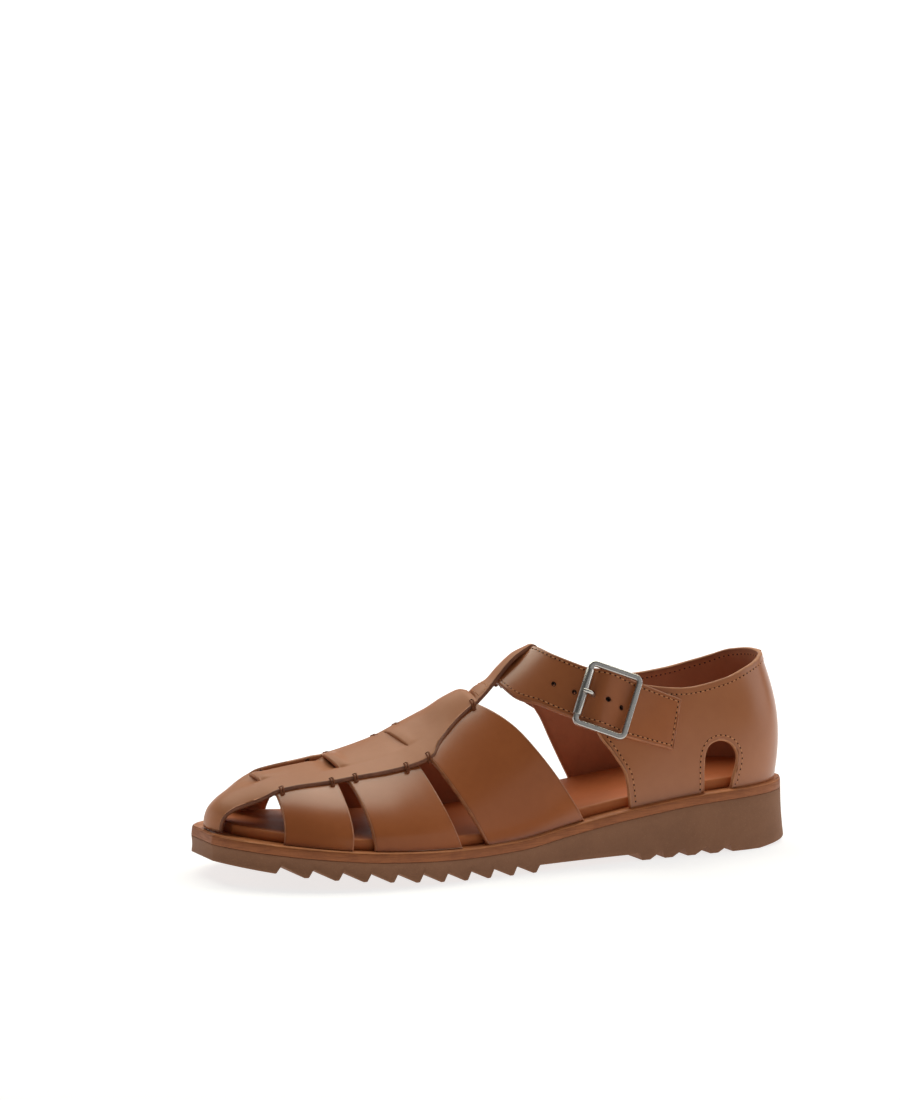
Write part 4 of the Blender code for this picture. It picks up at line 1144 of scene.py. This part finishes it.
def buildQuarter():
    look = quarterShape
    columns, levels = look["columns"], look["levels"]
    shareLine, riseLine = np.linspace(0.0, 1.0, columns), np.linspace(0.0, 1.0, levels)
    share, rise = gridShares(shareLine, riseLine)
    faces = gridFaces(columns, levels)
    gone = np.zeros(len(faces), bool)
    cell = np.arange(len(faces))
    cellColumn, cellLevel = cell // (levels - 1), cell % (levels - 1)
    extraShare, extraRise, extraFaces = [], [], []
    start = columns * levels
    for outer in (True, False):
        outlineShare, outlineRise = windowShares(outer, 0.0, look["outlineSteps"])
        first = int(np.searchsorted(shareLine, outlineShare.min())) - look["windowMargin"]
        last = int(np.searchsorted(shareLine, outlineShare.max())) + look["windowMargin"]
        top = int(np.searchsorted(riseLine, outlineRise.max())) + look["windowMargin"]
        gone |= (cellColumn >= first) & (cellColumn < last) & (cellLevel < top)
        border = [(first, level) for level in range(top)] + [(column, top) for column in range(first, last)]
        border += [(last, level) for level in range(top, -1, -1)]
        if outlineShare[0] > outlineShare[-1]:
            outlineShare, outlineRise = outlineShare[::-1], outlineRise[::-1]
        border = np.array(border)
        frameShare, frameRise = shareLine[border[:, 0]], riseLine[border[:, 1]]
        # a share of the length and one of the height, brought to about the same scale
        lengths = distances(np.stack([frameShare, frameRise], axis=1) * look["drawnScale"])
        reached = distances(np.stack([outlineShare, outlineRise], axis=1) * look["drawnScale"])
        places = lengths / lengths[-1] * reached[-1]
        holeShare, holeRise = np.interp(places, reached, outlineShare), np.interp(places, reached, outlineRise)
        previous = border[:, 0] * levels + border[:, 1]
        for step in range(1, look["stripRings"] + 1):
            near = step / look["stripRings"]
            extraShare.append(frameShare + (holeShare - frameShare) * near)
            extraRise.append(frameRise + (holeRise - frameRise) * near)
            current = start + np.arange(len(border))
            start += len(border)
            extraFaces.append(np.stack([previous[:-1], current[:-1], current[1:], previous[1:]], axis=1))
            previous = current
    share = np.concatenate([share] + extraShare)
    rise = np.concatenate([rise] + extraRise)
    used, faces = trimmed(np.vstack([faces[~gone]] + extraFaces))
    points = settled(quarterPoint(share[used], rise[used]), look)
    shape = slab(points, faces, look["thickness"], look["round"], swell=look["swell"], seed=31)
    makePiece("heel_quarter", shape, ["quarterLeather", "rawEdge", "lining"], ["upper"])


def buildQuarterStitches():
    look = quarterShape
    inset = look["stitchInset"]
    laps = np.linspace(*(float(lap) for lap in frontLaps(1.0)), look["collarSteps"])
    heights = collarAt(laps) - footFloor(look["heightAt"])
    collar = (np.linspace(*look["sewnShares"], look["collarSteps"]), 1.0 - inset / heights)
    rises = np.linspace(*look["sewnRises"], look["sideSteps"])
    length = np.subtract(*frontLaps(rises))
    lines = [collar, (inset / length, rises), (1.0 - inset / length, rises)]
    for outer in (True, False):
        share, rise = windowShares(outer, look["windowInset"], look["sideSteps"])
        lines.append((share, np.maximum(rise, look["windowFoot"])))
    rows = [rowOn(quarterPoint, *line, look["feel"], look["thickness"]) for line in lines]
    points, normals = rowOn(quarterPoint, *collar, look["feel"], 0.0)  # the collar's row shows inside as well
    sewRows("quarter_stitches", rows + [(points, -normals)], 41)


buildQuarter()
buildQuarterStitches()
print("closed heel built")


# tab over the closing seam at the back

tabShape = {"start": -24.0, "end": 5.0, "low": 0.76, "top": 0.985, "round": 0.11, "thickness": 1.5, "lift": 2.15,
            "columns": 50, "levels": 30, "edge": 0.55, "swell": 0.06, "inset": 2.2, "height": 15.0, "sewnTop": 0.9,
            "sideSteps": 30, "lowSteps": 60, "feel": (0.01, 0.02)}


def tabPoint(share, height):
    look = tabShape
    lap = look["end"] + (look["start"] - look["end"]) * share
    low = look["low"] + look["round"] * (2.0 * share - 1.0) ** 4
    rise = low + (look["top"] - low) * height
    normal = normalOn(heelPoint, lap, rise, -lastShape["normalStep"], lastShape["normalTurn"])
    return heelPoint(lap, rise) + normal * look["lift"]


def buildTab():
    look = tabShape
    share, height = gridShares(np.linspace(0.0, 1.0, look["columns"]), np.linspace(0.0, 1.0, look["levels"]))
    shape = slab(tabPoint(share, height), gridFaces(look["columns"], look["levels"]), look["thickness"], look["edge"],
                 swell=look["swell"], seed=51)
    makePiece("seam_tab", shape, ["quarterLeather", "rawEdge", "lining"], ["heel_tab"])
    side, low = look["inset"] / (look["end"] - look["start"]), look["inset"] / look["height"]
    up, flat = look["sideSteps"], look["lowSteps"]
    across = np.concatenate([np.full(up, side), np.linspace(side, 1.0 - side, flat), np.full(up, 1.0 - side)])
    upward = np.concatenate([np.linspace(look["sewnTop"], low, up), np.full(flat, low),
                             np.linspace(low, look["sewnTop"], up)])
    sewRows("tab_stitches", [rowOn(tabPoint, across, upward, look["feel"], look["thickness"])], 52)


buildTab()
print("seam tab built")


# ankle strap

ankleShape = {
    "rows": [(-40.0, -0.70, -52.0, -0.58, 2.1), (-27.0, -0.56, -40.0, -0.45, 2.1), (-14.0, -0.36, -30.0, -0.27, -0.6),
             (-4.0, -0.06, -23.5, -0.03, -0.9), (-6.0, 0.265, -24.6, 0.03, 0.7), (-16.1, 0.424, -29.0, 0.225, 2.15),
             (-29.0, 0.567, -38.4, 0.388, 2.3), (-37.8, 0.652, -47.7, 0.472, 5.0), (-47.2, 0.720, -57.2, 0.558, 2.6),
             (-60.4, 0.794, -68.7, 0.642, 2.2), (-72.7, 0.849, -78.5, 0.694, 2.1)],
    "thickness": 2.2, "round": 0.7, "swell": 0.1, "across": 29, "along": 210, "inset": 1.9,
    "holes": [(0.56, 0.526), (0.54, 0.579), (0.47, 0.65), (0.51, 0.708), (0.55, 0.763)],
    "holeRadius": 0.66, "holeCells": 1.5, "holeReach": 3.2, "holeFade": 2.2, "wallReach": 1.1,
    "dimple": 0.22, "dimpleFade": 0.9, "probe": (0.01, 0.005), "feel": (0.004, 0.001),
    "sewn": (0.015, 0.04, 0.985), "sewnSteps": 500, "endSteps": 60, "widthAt": 0.95, "sewFeel": (0.01, 0.001),
}
anklePoint = bandSurface(ankleShape["rows"])


def buildAnkleStrap():
    look = ankleShape
    rows, columns = look["across"], look["along"]
    across, along = gridShares(np.linspace(0.0, 1.0, rows), np.linspace(0.0, 1.0, columns))
    faces = gridFaces(rows, columns)
    gone = np.zeros(len(faces), bool)
    cell = np.arange(len(faces))
    cellRow, cellColumn = cell // (columns - 1), cell % (columns - 1)
    dimples, shiftAcross, shiftAlong = np.zeros((3, len(across)))
    rimSlots = np.ones(len(across))
    acrossProbe, alongProbe = look["probe"]
    for holeAcross, holeAlong in look["holes"]:
        row, column = int(holeAcross * (rows - 1)), int(holeAlong * (columns - 1))
        gone |= (np.abs(cellRow - row) <= 1) & (np.abs(cellColumn - column) <= 1)
        centre = ((row + 0.5) / (rows - 1), (column + 0.5) / (columns - 1))
        here = anklePoint(centre[0] + np.array([0.0, acrossProbe, 0.0]), centre[1] + np.array([0.0, 0.0, alongProbe]))
        perAcross = np.linalg.norm(here[1] - here[0]) / acrossProbe
        perAlong = np.linalg.norm(here[2] - here[0]) / alongProbe
        a, b = (across - centre[0]) * perAcross, (along - centre[1]) * perAlong
        square = np.maximum(np.abs(a) / (look["holeCells"] * perAcross / (rows - 1)),
                            np.abs(b) / (look["holeCells"] * perAlong / (columns - 1)))
        distance = np.maximum(np.hypot(a, b), 1e-6)
        near = np.clip((look["holeReach"] - square) / look["holeFade"], 0.0, 1.0)
        target = look["holeRadius"] * square
        shiftAcross += near * (target / distance - 1.0) * a / perAcross
        shiftAlong += near * (target / distance - 1.0) * b / perAlong
        rimSlots[square < look["wallReach"]] = 3  # walls of the punched holes take the near-black painted hole shade
        dimples += look["dimple"] * np.exp(-np.maximum(distance - look["holeRadius"], 0.0) / look["dimpleFade"])
    points = anklePoint(across + shiftAcross, along + shiftAlong)
    points = points - normalOn(anklePoint, across, along, *look["feel"]) * dimples[:, None]
    used, faces = trimmed(faces[~gone])
    shape = slab(points[used], faces, look["thickness"], look["round"], swell=look["swell"], seed=61,
                 rimSlots=rimSlots[used])
    makePiece("ankle_strap", shape, ["ankleLeather", "burnishedEdge", "lining", "paintedHoleShade"], ["upper"])


def buildAnkleStitches():
    look = ankleShape
    first, last = look["sewn"][0], look["sewn"][-1]
    ends = anklePoint(np.array([0.0, 1.0]), np.full(2, look["widthAt"]))
    inset = look["inset"] / np.linalg.norm(ends[1] - ends[0])
    along = np.linspace(first, last, look["sewnSteps"])
    across = np.linspace(inset, 1.0 - inset, look["endSteps"])
    lines = [(edge, along) for edge in (inset, 1.0 - inset)] + [(across, place) for place in look["sewn"]]
    sewRows("ankle_stitches", [rowOn(anklePoint, *line, look["sewFeel"], look["thickness"]) for line in lines], 62)


buildAnkleStrap()
buildAnkleStitches()
print("ankle strap built")


# lengthwise bar with its slits, rail and loop

def barMain():
    look = barShape
    first, last = look["along"][0], look["along"][-1]
    share = np.linspace(0.0, 1.0, look["rows"])
    along = last - (last - first) * (1.0 - share) ** look["crowding"]
    slitRows = []
    for slit in look["slits"]:
        row = int(np.abs(along - slit).argmin())
        along[row] = slit
        slitRows.append(row)
    return along, slitRows


def barPlaces():
    # rows from the tucked end, round the fold and forward to the toe: place along the foot, and lift
    look = barShape
    main, slitRows = barMain()
    start, radius = main[0], look["foldRadius"]
    tuck = np.linspace(look["tuckEnd"], start, look["tuckSteps"])
    turn = np.linspace(0.0, math.pi, look["foldSteps"] + 2)[1:-1]
    along = np.concatenate([tuck, start - radius * np.sin(turn), main])
    drop = np.concatenate([np.full(len(tuck), -2.0 * radius), -radius - radius * np.cos(turn), np.zeros(len(main))])
    shift = len(tuck) + len(turn)
    return along, drop, [row + shift for row in slitRows], shift


def cutSheet(rows, columns, slitRows, ends):
    # flat grid cut open along the slits and the rail: each point's row and column, the way to its faces, the faces
    sheet = bmesh.new()
    corners = [[sheet.verts.new((float(i), float(j), 0.0)) for j in range(columns)] for i in range(rows)]
    for i in range(rows - 1):
        for j in range(columns - 1):
            sheet.faces.new((corners[i][j], corners[i + 1][j], corners[i + 1][j + 1], corners[i][j + 1]))
    rail = ends[1][0]
    cuts = [(corners[row][j], corners[row][j + 1])
            for row, (first, last) in zip(slitRows, ends) for j in range(first, last)]
    cuts += [(corners[i][rail], corners[i + 1][rail]) for i in range(slitRows[1], slitRows[2])]
    bmesh.ops.split_edges(sheet, edges=[sheet.edges.get(pair) for pair in cuts])
    sheet.verts.index_update()
    spots = np.array([vert.co[:2] for vert in sheet.verts])
    middles = np.array([np.mean([face.calc_center_median()[:2] for face in vert.link_faces], axis=0)
                        for vert in sheet.verts])
    faces = np.array([[vert.index for vert in face.verts] for face in sheet.faces])
    sheet.free()
    return spots.astype(int), middles - spots, faces


def buildBar():
    look = barShape
    along, drop, slitRows, shift = barPlaces()
    rows, columns = len(along), look["columns"]
    outer, inner = smoothAt(look, "outer", along), smoothAt(look, "inner", along)
    shares = np.linspace(0.0, 1.0, columns)
    ends = []
    for row, low, high in zip(slitRows, look["slitFrom"], look["slitTo"]):
        side = inner[row] + (outer[row] - inner[row]) * shares
        ends.append((int(np.abs(side - low).argmin()), int(np.abs(side - high).argmin())))
    rail = ends[1][0]
    ends[2] = (rail, ends[2][1])
    spots, toFaces, faces = cutSheet(rows, columns, slitRows, ends)
    (row, column), (ahead, sideways) = spots.T, toFaces.T
    straight, share = along[row], shares[column]
    side = inner[row] + (outer[row] - inner[row]) * share
    x = straight.copy()
    for slitRow, slant in zip(slitRows, look["slant"]):
        x -= slant * share * ease(1.0 - np.abs(straight - along[slitRow]) / look["slantReach"]) * (row >= shift)
    lift = barLift(x, side) + drop[row]
    move = np.zeros(len(x))
    for slitRow, (first, last), wide in zip(slitRows, ends, look["open"]):
        width = (column - first) / (last - first)
        mouth = np.clip(4.0 * width * (1.0 - width), 0.0, None) ** look["mouthRound"]
        mouth = np.where((width > 0.0) & (width < 1.0), mouth, 0.0) * wide
        rear = ((row < slitRow) | ((row == slitRow) & (ahead < -look["tellApart"]))) & (row >= shift)
        behind = np.maximum(along[slitRow] - straight, 0.0)
        before = np.maximum(straight - along[slitRow], 0.0)
        crown = look["crown"] * ease(1.0 - behind / look["crownFall"]) * (1.0 - (2.0 * share - 1.0) ** 2)
        roll = ease(1.0 - behind / look["lipReach"]) - look["rollIn"] * ease(1.0 - behind / look["rollReach"])
        dive = look["dive"] * ease(1.0 - before / look["diveReach"]) * (row >= slitRow)
        lift += np.where(rear, crown * mouth, 0.0)
        lift += np.where(rear, look["lip"] * roll, -dive) * mouth
        move += np.where(rear & (row == slitRow), look["rearShare"] * look["overlap"] * mouth, 0.0)
        move -= np.where(~rear & (row == slitRow), look["overlap"] * mouth, 0.0)
    onRail = (column == rail) & (row > slitRows[1]) & (row < slitRows[2])
    reach = (x - along[slitRows[1]]) / (along[slitRows[2]] - along[slitRows[1]])
    middleShare = ease(reach / look["railEnd"]) * ease((1.0 - reach) / look["railEnd"])
    panel = (column > rail) | (onRail & (sideways > look["tellApart"]))
    railSide = inner[row] + (outer[row] - inner[row]) * shares[rail]
    fall = ease(1.0 - (side - railSide) / look["railReach"])
    lift += np.where(panel, -look["railDrop"] * fall, look["railRise"]) * middleShare
    side += np.where(onRail, look["railGap"] * np.sign(sideways), 0.0)
    points = aboveLast(x, turnAtSide(x, side), lift)
    points[:, 0] += move
    middle = ridgeAt(x)[1]
    points[:, 0] -= look["toeRound"] * (side - middle) ** 2 * ease((x - look["toeRoundStart"]) / look["toeRoundReach"])
    edgeSlots = np.where((column == 0) | (column == columns - 1) | (row == 0) | (row == rows - 1), 1, 0)
    shape = slab(points, faces, look["thickness"], look["round"], swell=look["swell"], seed=71, rimSlots=edgeSlots)
    makePiece("long_bar", shape, ["barLeather", "paintedEdge", "rawEdge"], ["upper"])


def barPoint(along, share):
    inner, outer, _ = barShares(along, 0.0)
    side = inner + (outer - inner) * share
    return aboveLast(along, turnAtSide(along, side), barLift(along, side))


def buildBarStitches():
    # small stitched box that closes the loop round the ankle strap
    look = barShape
    start, end = look["box"]
    low, high = look["boxShares"]
    along, across = np.linspace(start, end, look["boxSteps"]), np.linspace(low, high, look["boxSteps"])
    lines = [(start, across), (end, across), (along, low), (along, high)]
    rows = [rowOn(barPoint, *line, look["boxFeel"], look["thickness"]) for line in lines]
    sewRows("bar_stitches", rows, 75, "rawEdge")


cordShape = {"along": [111.5, 88.5, 77.5, 53.0, 41.5, 11.5], "radius": 0.42, "apart": (0.75, 0.45), "lean": 0.2,
             "out": [-2.9, -2.7, -2.1, -0.9, 0.25, 0.8, 1.15, 1.5, 1.8],
             "rise": [-0.7, -0.1, 0.2, 0.28, 0.1, -0.5, -0.9, -1.2, -2.0],
             "hole": (-2.9, -0.12, 1.3, 0.36), "knot": (1.45, -1.3, 1.0, 0.72), "past": 1.5,
             "innerSink": 0.4, "steps": 33, "sides": 10,
             "beadTaper": [0.2, 0.6, 0.85, 1.0, 1.0, 1.0, 0.85, 0.6, 0.2]}


def buildCords():
    # waxed cord whipped over the bar's edge, two strands at each corner of a strap
    look = cordShape
    strands, holes = [], []
    out, rise = (curveThrough(look[key], np.linspace(0.0, 1.0, look["steps"])) for key in ("out", "rise"))
    taper = np.array(look["beadTaper"])
    apart = np.interp(out, (out[0], out[-1]), look["apart"])
    for place in look["along"]:
        for edge, sign in (("outer", 1.0), ("inner", -1.0)):
            rim = float(smoothAt(barShape, edge, place))
            top = float(smoothAt(barShape, "lift", place)) + barShape["thickness"]
            sink = look["innerSink"] if sign < 0.0 else 0.0

            def overEdge(along, offset, height):
                side = np.broadcast_to(rim + sign * offset, along.shape)
                onBar = barLift(along, side) + barShape["thickness"]
                past = ease(np.broadcast_to(offset, along.shape) / look["past"])
                return aboveLast(along, turnAtSide(along, side), onBar + (top - onBar) * past + height - sink)

            def bead(offset, height, half, radius):
                along = place + look["lean"] * offset + np.linspace(-half, half, len(taper))
                return sweep(overEdge(along, offset, height), radius * taper, look["sides"])

            for strand in (-1.0, 1.0):
                along = place + strand * apart + look["lean"] * out
                strands.append(sweep(overEdge(along, out, rise), look["radius"], look["sides"]))
            strands.append(bead(*look["knot"]))
            # near-black bead where the cord goes into the bar: painted shade of the hole
            holes.append(bead(*look["hole"]))
    for shape, slot in [(shape, 0) for shape in strands] + [(shape, 1) for shape in holes]:
        shape["slots"] = [slot] * len(shape["faces"])
    makePiece("whip_cords", joined(strands + holes), ["cordThread", "paintedHoleShade"])


buildBar()
buildBarStitches()
buildCords()
print("bar and its cords built")


# buckle

buckleShape = {"along": -43.0, "turn": 0.572, "rows": (6.2, 7.8), "length": 26.0, "width": 32.0, "corner": 2.3,
               "wire": 2.6, "wireHeight": 2.3, "wireRound": 0.6, "lift": 6.3, "centreBar": 2.3, "centreLift": 3.5,
               "barSides": 14, "barBend": (0.2, 1.4), "roller": 4.0, "bore": 3.0, "rollerWidth": 22.5,
               "rollerRound": 0.35, "rollerLip": 0.15, "rollerSoft": 0.3, "rollerSides": 40, "prong": 1.9,
               "prongSteps": 40, "prongSides": 16, "taperAt": [0.0, 0.1, 0.75, 0.95, 1.0],
               "taper": [1.0, 1.1, 1.0, 0.95, 0.7], "rimSharp": 75.0, "rollerSharp": 35.0, "tongueSharp": 50.0,
               "route": [(-1.9, 3.0), (-4.4, 3.2), (-6.2, 4.7), (-8.5, 9.0), (-12.4, 9.5)]}


def buckleFrame():
    look = buckleShape
    share = np.array(look["rows"]) / (len(ankleShape["rows"]) - 1)
    before, after = anklePoint(np.array([0.5, 0.5]), share)
    along, turn = np.float64(look["along"]), np.float64(look["turn"])
    normal = normalOn(sectionPoint, along, turn, lastShape["normalStep"], lastShape["normalTurn"])
    heading = after - before
    ahead = unit(heading - normal * np.dot(heading, normal))
    return sectionPoint(along, turn), np.stack([ahead, np.cross(normal, ahead), normal])


def roundedSection(width, height, radius, steps=4):
    points = []
    for x, y, start in ((1, 1, 0.0), (-1, 1, 0.5), (-1, -1, 1.0), (1, -1, 1.5)):
        for turn in np.linspace(start, start + 0.5, steps) * math.pi:
            points.append((x * (width / 2.0 - radius) + radius * math.cos(turn),
                           y * (height / 2.0 - radius) + radius * math.sin(turn)))
    return np.array(points)


def placed(shape, origin, axes):
    shape["verts"] = origin + np.asarray(shape["verts"]) @ axes
    return shape


def buildBuckle():
    look = buckleShape
    origin, axes = buckleFrame()
    length, width = look["length"] - look["wire"], look["width"] - look["wire"]
    rim = roundedSection(length, width, look["corner"], 9)
    path = np.column_stack([rim, np.full(len(rim), look["lift"])])
    section = roundedSection(look["wire"], look["wireHeight"], look["wireRound"])
    ups = np.tile((0.0, 0.0, 1.0), (len(path), 1))
    frameBar = sweep(path, 1.0, profile=section, ups=ups, closed=True)
    half, (shoulder, bend) = width / 2.0, look["barBend"]
    bends = [(half, look["lift"]), (half - shoulder, look["lift"] - bend), (half - bend, look["centreLift"])]
    dropped = [(0.0, -y, z) for y, z in bends] + [(0.0, y, z) for y, z in bends[::-1]]
    centreBar = sweep(dropped, look["centreBar"] / 2.0, look["barSides"])
    makePiece("buckle_rim", placed(joined([frameBar, centreBar]), origin, axes), ["gunmetal"],
              ["buckle_frame"], look["rimSharp"])

    front, end = -length / 2.0, look["rollerWidth"] / 2.0
    outer, bore, soft = look["roller"] / 2.0, look["bore"] / 2.0, look["rollerRound"]
    corner = look["rollerSoft"] * soft
    turned = [(end - soft, bore), (end, bore + look["rollerLip"]), (end, outer - soft),
              (end - corner, outer - corner), (end - soft, outer)]
    turned = [(-y, r) for y, r in turned] + turned[::-1]
    steps = look["rollerSides"]
    verts = [(front + r * math.cos(a), y, look["lift"] + r * math.sin(a))
             for y, r in turned for a in np.arange(steps) * 2.0 * math.pi / steps]
    tube = {"verts": verts, "faces": tubeFaces(len(turned), steps, True)}
    makePiece("buckle_roller_tube", placed(tube, origin, axes), ["gunmetal"], ["buckle_roller"],
              look["rollerSharp"])

    share = np.linspace(0.0, 1.0, look["prongSteps"])
    x, z = (curveThrough(column, share) for column in zip(*look["route"]))
    radii = look["prong"] / 2.0 * np.interp(share, look["taperAt"], look["taper"])
    prong = sweep(np.column_stack([x, np.zeros(len(share)), z]), radii, look["prongSides"])
    makePiece("buckle_tongue", placed(prong, origin, axes), ["gunmetal"], ["buckle_prong"],
              look["tongueSharp"])


buildBuckle()
print("buckle built")


# floor, light and camera

stageShape = {"near": -5.0, "far": 3.9, "bend": 0.9, "bendSteps": 16, "top": 1.3, "half": 6.0,
              "heading": (-0.42, -0.907, 0.0), "colour": (0.42, 0.42, 0.42), "cloud": 0.985, "cloudSize": 3.0,
              "rough": 0.9, "specular": 0.1, "glow": 0.74, "world": 0.08}


def buildStage():
    look = stageShape
    far, bend = look["far"], look["bend"]
    profile = [(look["near"], 0.0), (0.0, 0.0)]
    profile += [(far + bend * math.sin(turn), bend * (1.0 - math.cos(turn)))
                for turn in np.linspace(0.0, quarterTurn, look["bendSteps"])]
    profile.append((far + bend, look["top"]))
    heading = Vector(look["heading"])
    aside = Vector((-heading.y, heading.x, 0.0))
    verts, faces = [], []
    for away, height in profile:
        for side in (-look["half"], look["half"]):
            verts.append(tuple(heading * away + aside * side + Vector((0.0, 0.0, height))))
    for k in range(len(profile) - 1):
        faces.append((2 * k, 2 * k + 1, 2 * k + 3, 2 * k + 2))
    mesh = bpy.data.meshes.new("floor")
    mesh.from_pydata(verts, [], faces)
    mesh.polygons.foreach_set("use_smooth", [True] * len(faces))
    material, tree, shader = startMaterial("paleFloor")
    cloud = noiseNode(tree, placeNode(tree), look["cloudSize"], 2.0)
    darker = tuple(look["cloud"] * c for c in look["colour"])
    wire(tree, blend(tree, cloud, look["colour"], darker), shader["Base Color"])
    shader["Roughness"].default_value = look["rough"]
    shader["Specular IOR Level"].default_value = look["specular"]
    shader["Emission Color"].default_value = (1.0, 1.0, 1.0, 1.0)
    shader["Emission Strength"].default_value = look["glow"]
    mesh.materials.append(material)
    floor = bpy.data.objects.new("floor", mesh)
    bpy.context.scene.collection.objects.link(floor)

    world = bpy.data.worlds.new("softRoom")
    world.use_nodes = True
    background = world.node_tree.nodes["Background"].inputs
    background["Color"].default_value = (1.0, 1.0, 1.0, 1.0)
    background["Strength"].default_value = look["world"]
    bpy.context.scene.world = world
    bpy.context.scene.view_settings.view_transform = "Standard"


lampShapes = {
    "backBox": {"at": (-0.334, -0.721, 1.4), "to": (0.0, 0.0, 0.05), "size": (2.5, 1.08), "power": 29.0,
                "tint": (1.0, 0.98, 0.82)},
    "sideBox": {"at": (-1.5, 0.45, 0.6), "to": (-0.05, 0.0, 0.05), "size": (0.9, 1.1), "power": 4.6},
    "frontCard": {"at": (-0.55, 1.51, 1.05), "to": (0.0, 0.0, 0.05), "size": (1.77, 1.13), "power": 2.0},
    "leftBox": {"at": (1.03, -1.22, 0.35), "to": (0.0, 0.0, 0.05), "size": (0.8, 0.7), "power": 2.0},
    "wallBox": {"at": (-1.2, -2.6, 2.6), "to": (-1.7, -3.7, 0.6), "size": (5.0, 1.0), "power": 130.0},
}


def buildLamps():
    for name, look in lampShapes.items():
        lamp = bpy.data.lights.new(name, "AREA")
        lamp.shape = "RECTANGLE"
        lamp.size, lamp.size_y = look["size"]
        lamp.energy = look["power"]
        lamp.color = look.get("tint", (1.0, 1.0, 1.0))
        obj = bpy.data.objects.new(name, lamp)
        obj.location = look["at"]
        obj.rotation_euler = (Vector(look["to"]) - Vector(look["at"])).to_track_quat("-Z", "Y").to_euler()
        bpy.context.scene.collection.objects.link(obj)


cameraShape = {"at": (0.79689, 1.66231, 0.34739), "look": (-0.41922, -0.90108, -0.11095), "lens": 132.84,
               "sensor": 36.0}


def buildCamera():
    camera = bpy.data.cameras.new("camera")
    camera.lens, camera.sensor_width = cameraShape["lens"], cameraShape["sensor"]
    obj = bpy.data.objects.new("camera", camera)
    obj.location = cameraShape["at"]
    obj.rotation_euler = Vector(cameraShape["look"]).to_track_quat("-Z", "Y").to_euler()
    bpy.context.scene.collection.objects.link(obj)
    bpy.context.scene.camera = obj


buildStage()
buildLamps()
buildCamera()
print("stage set")
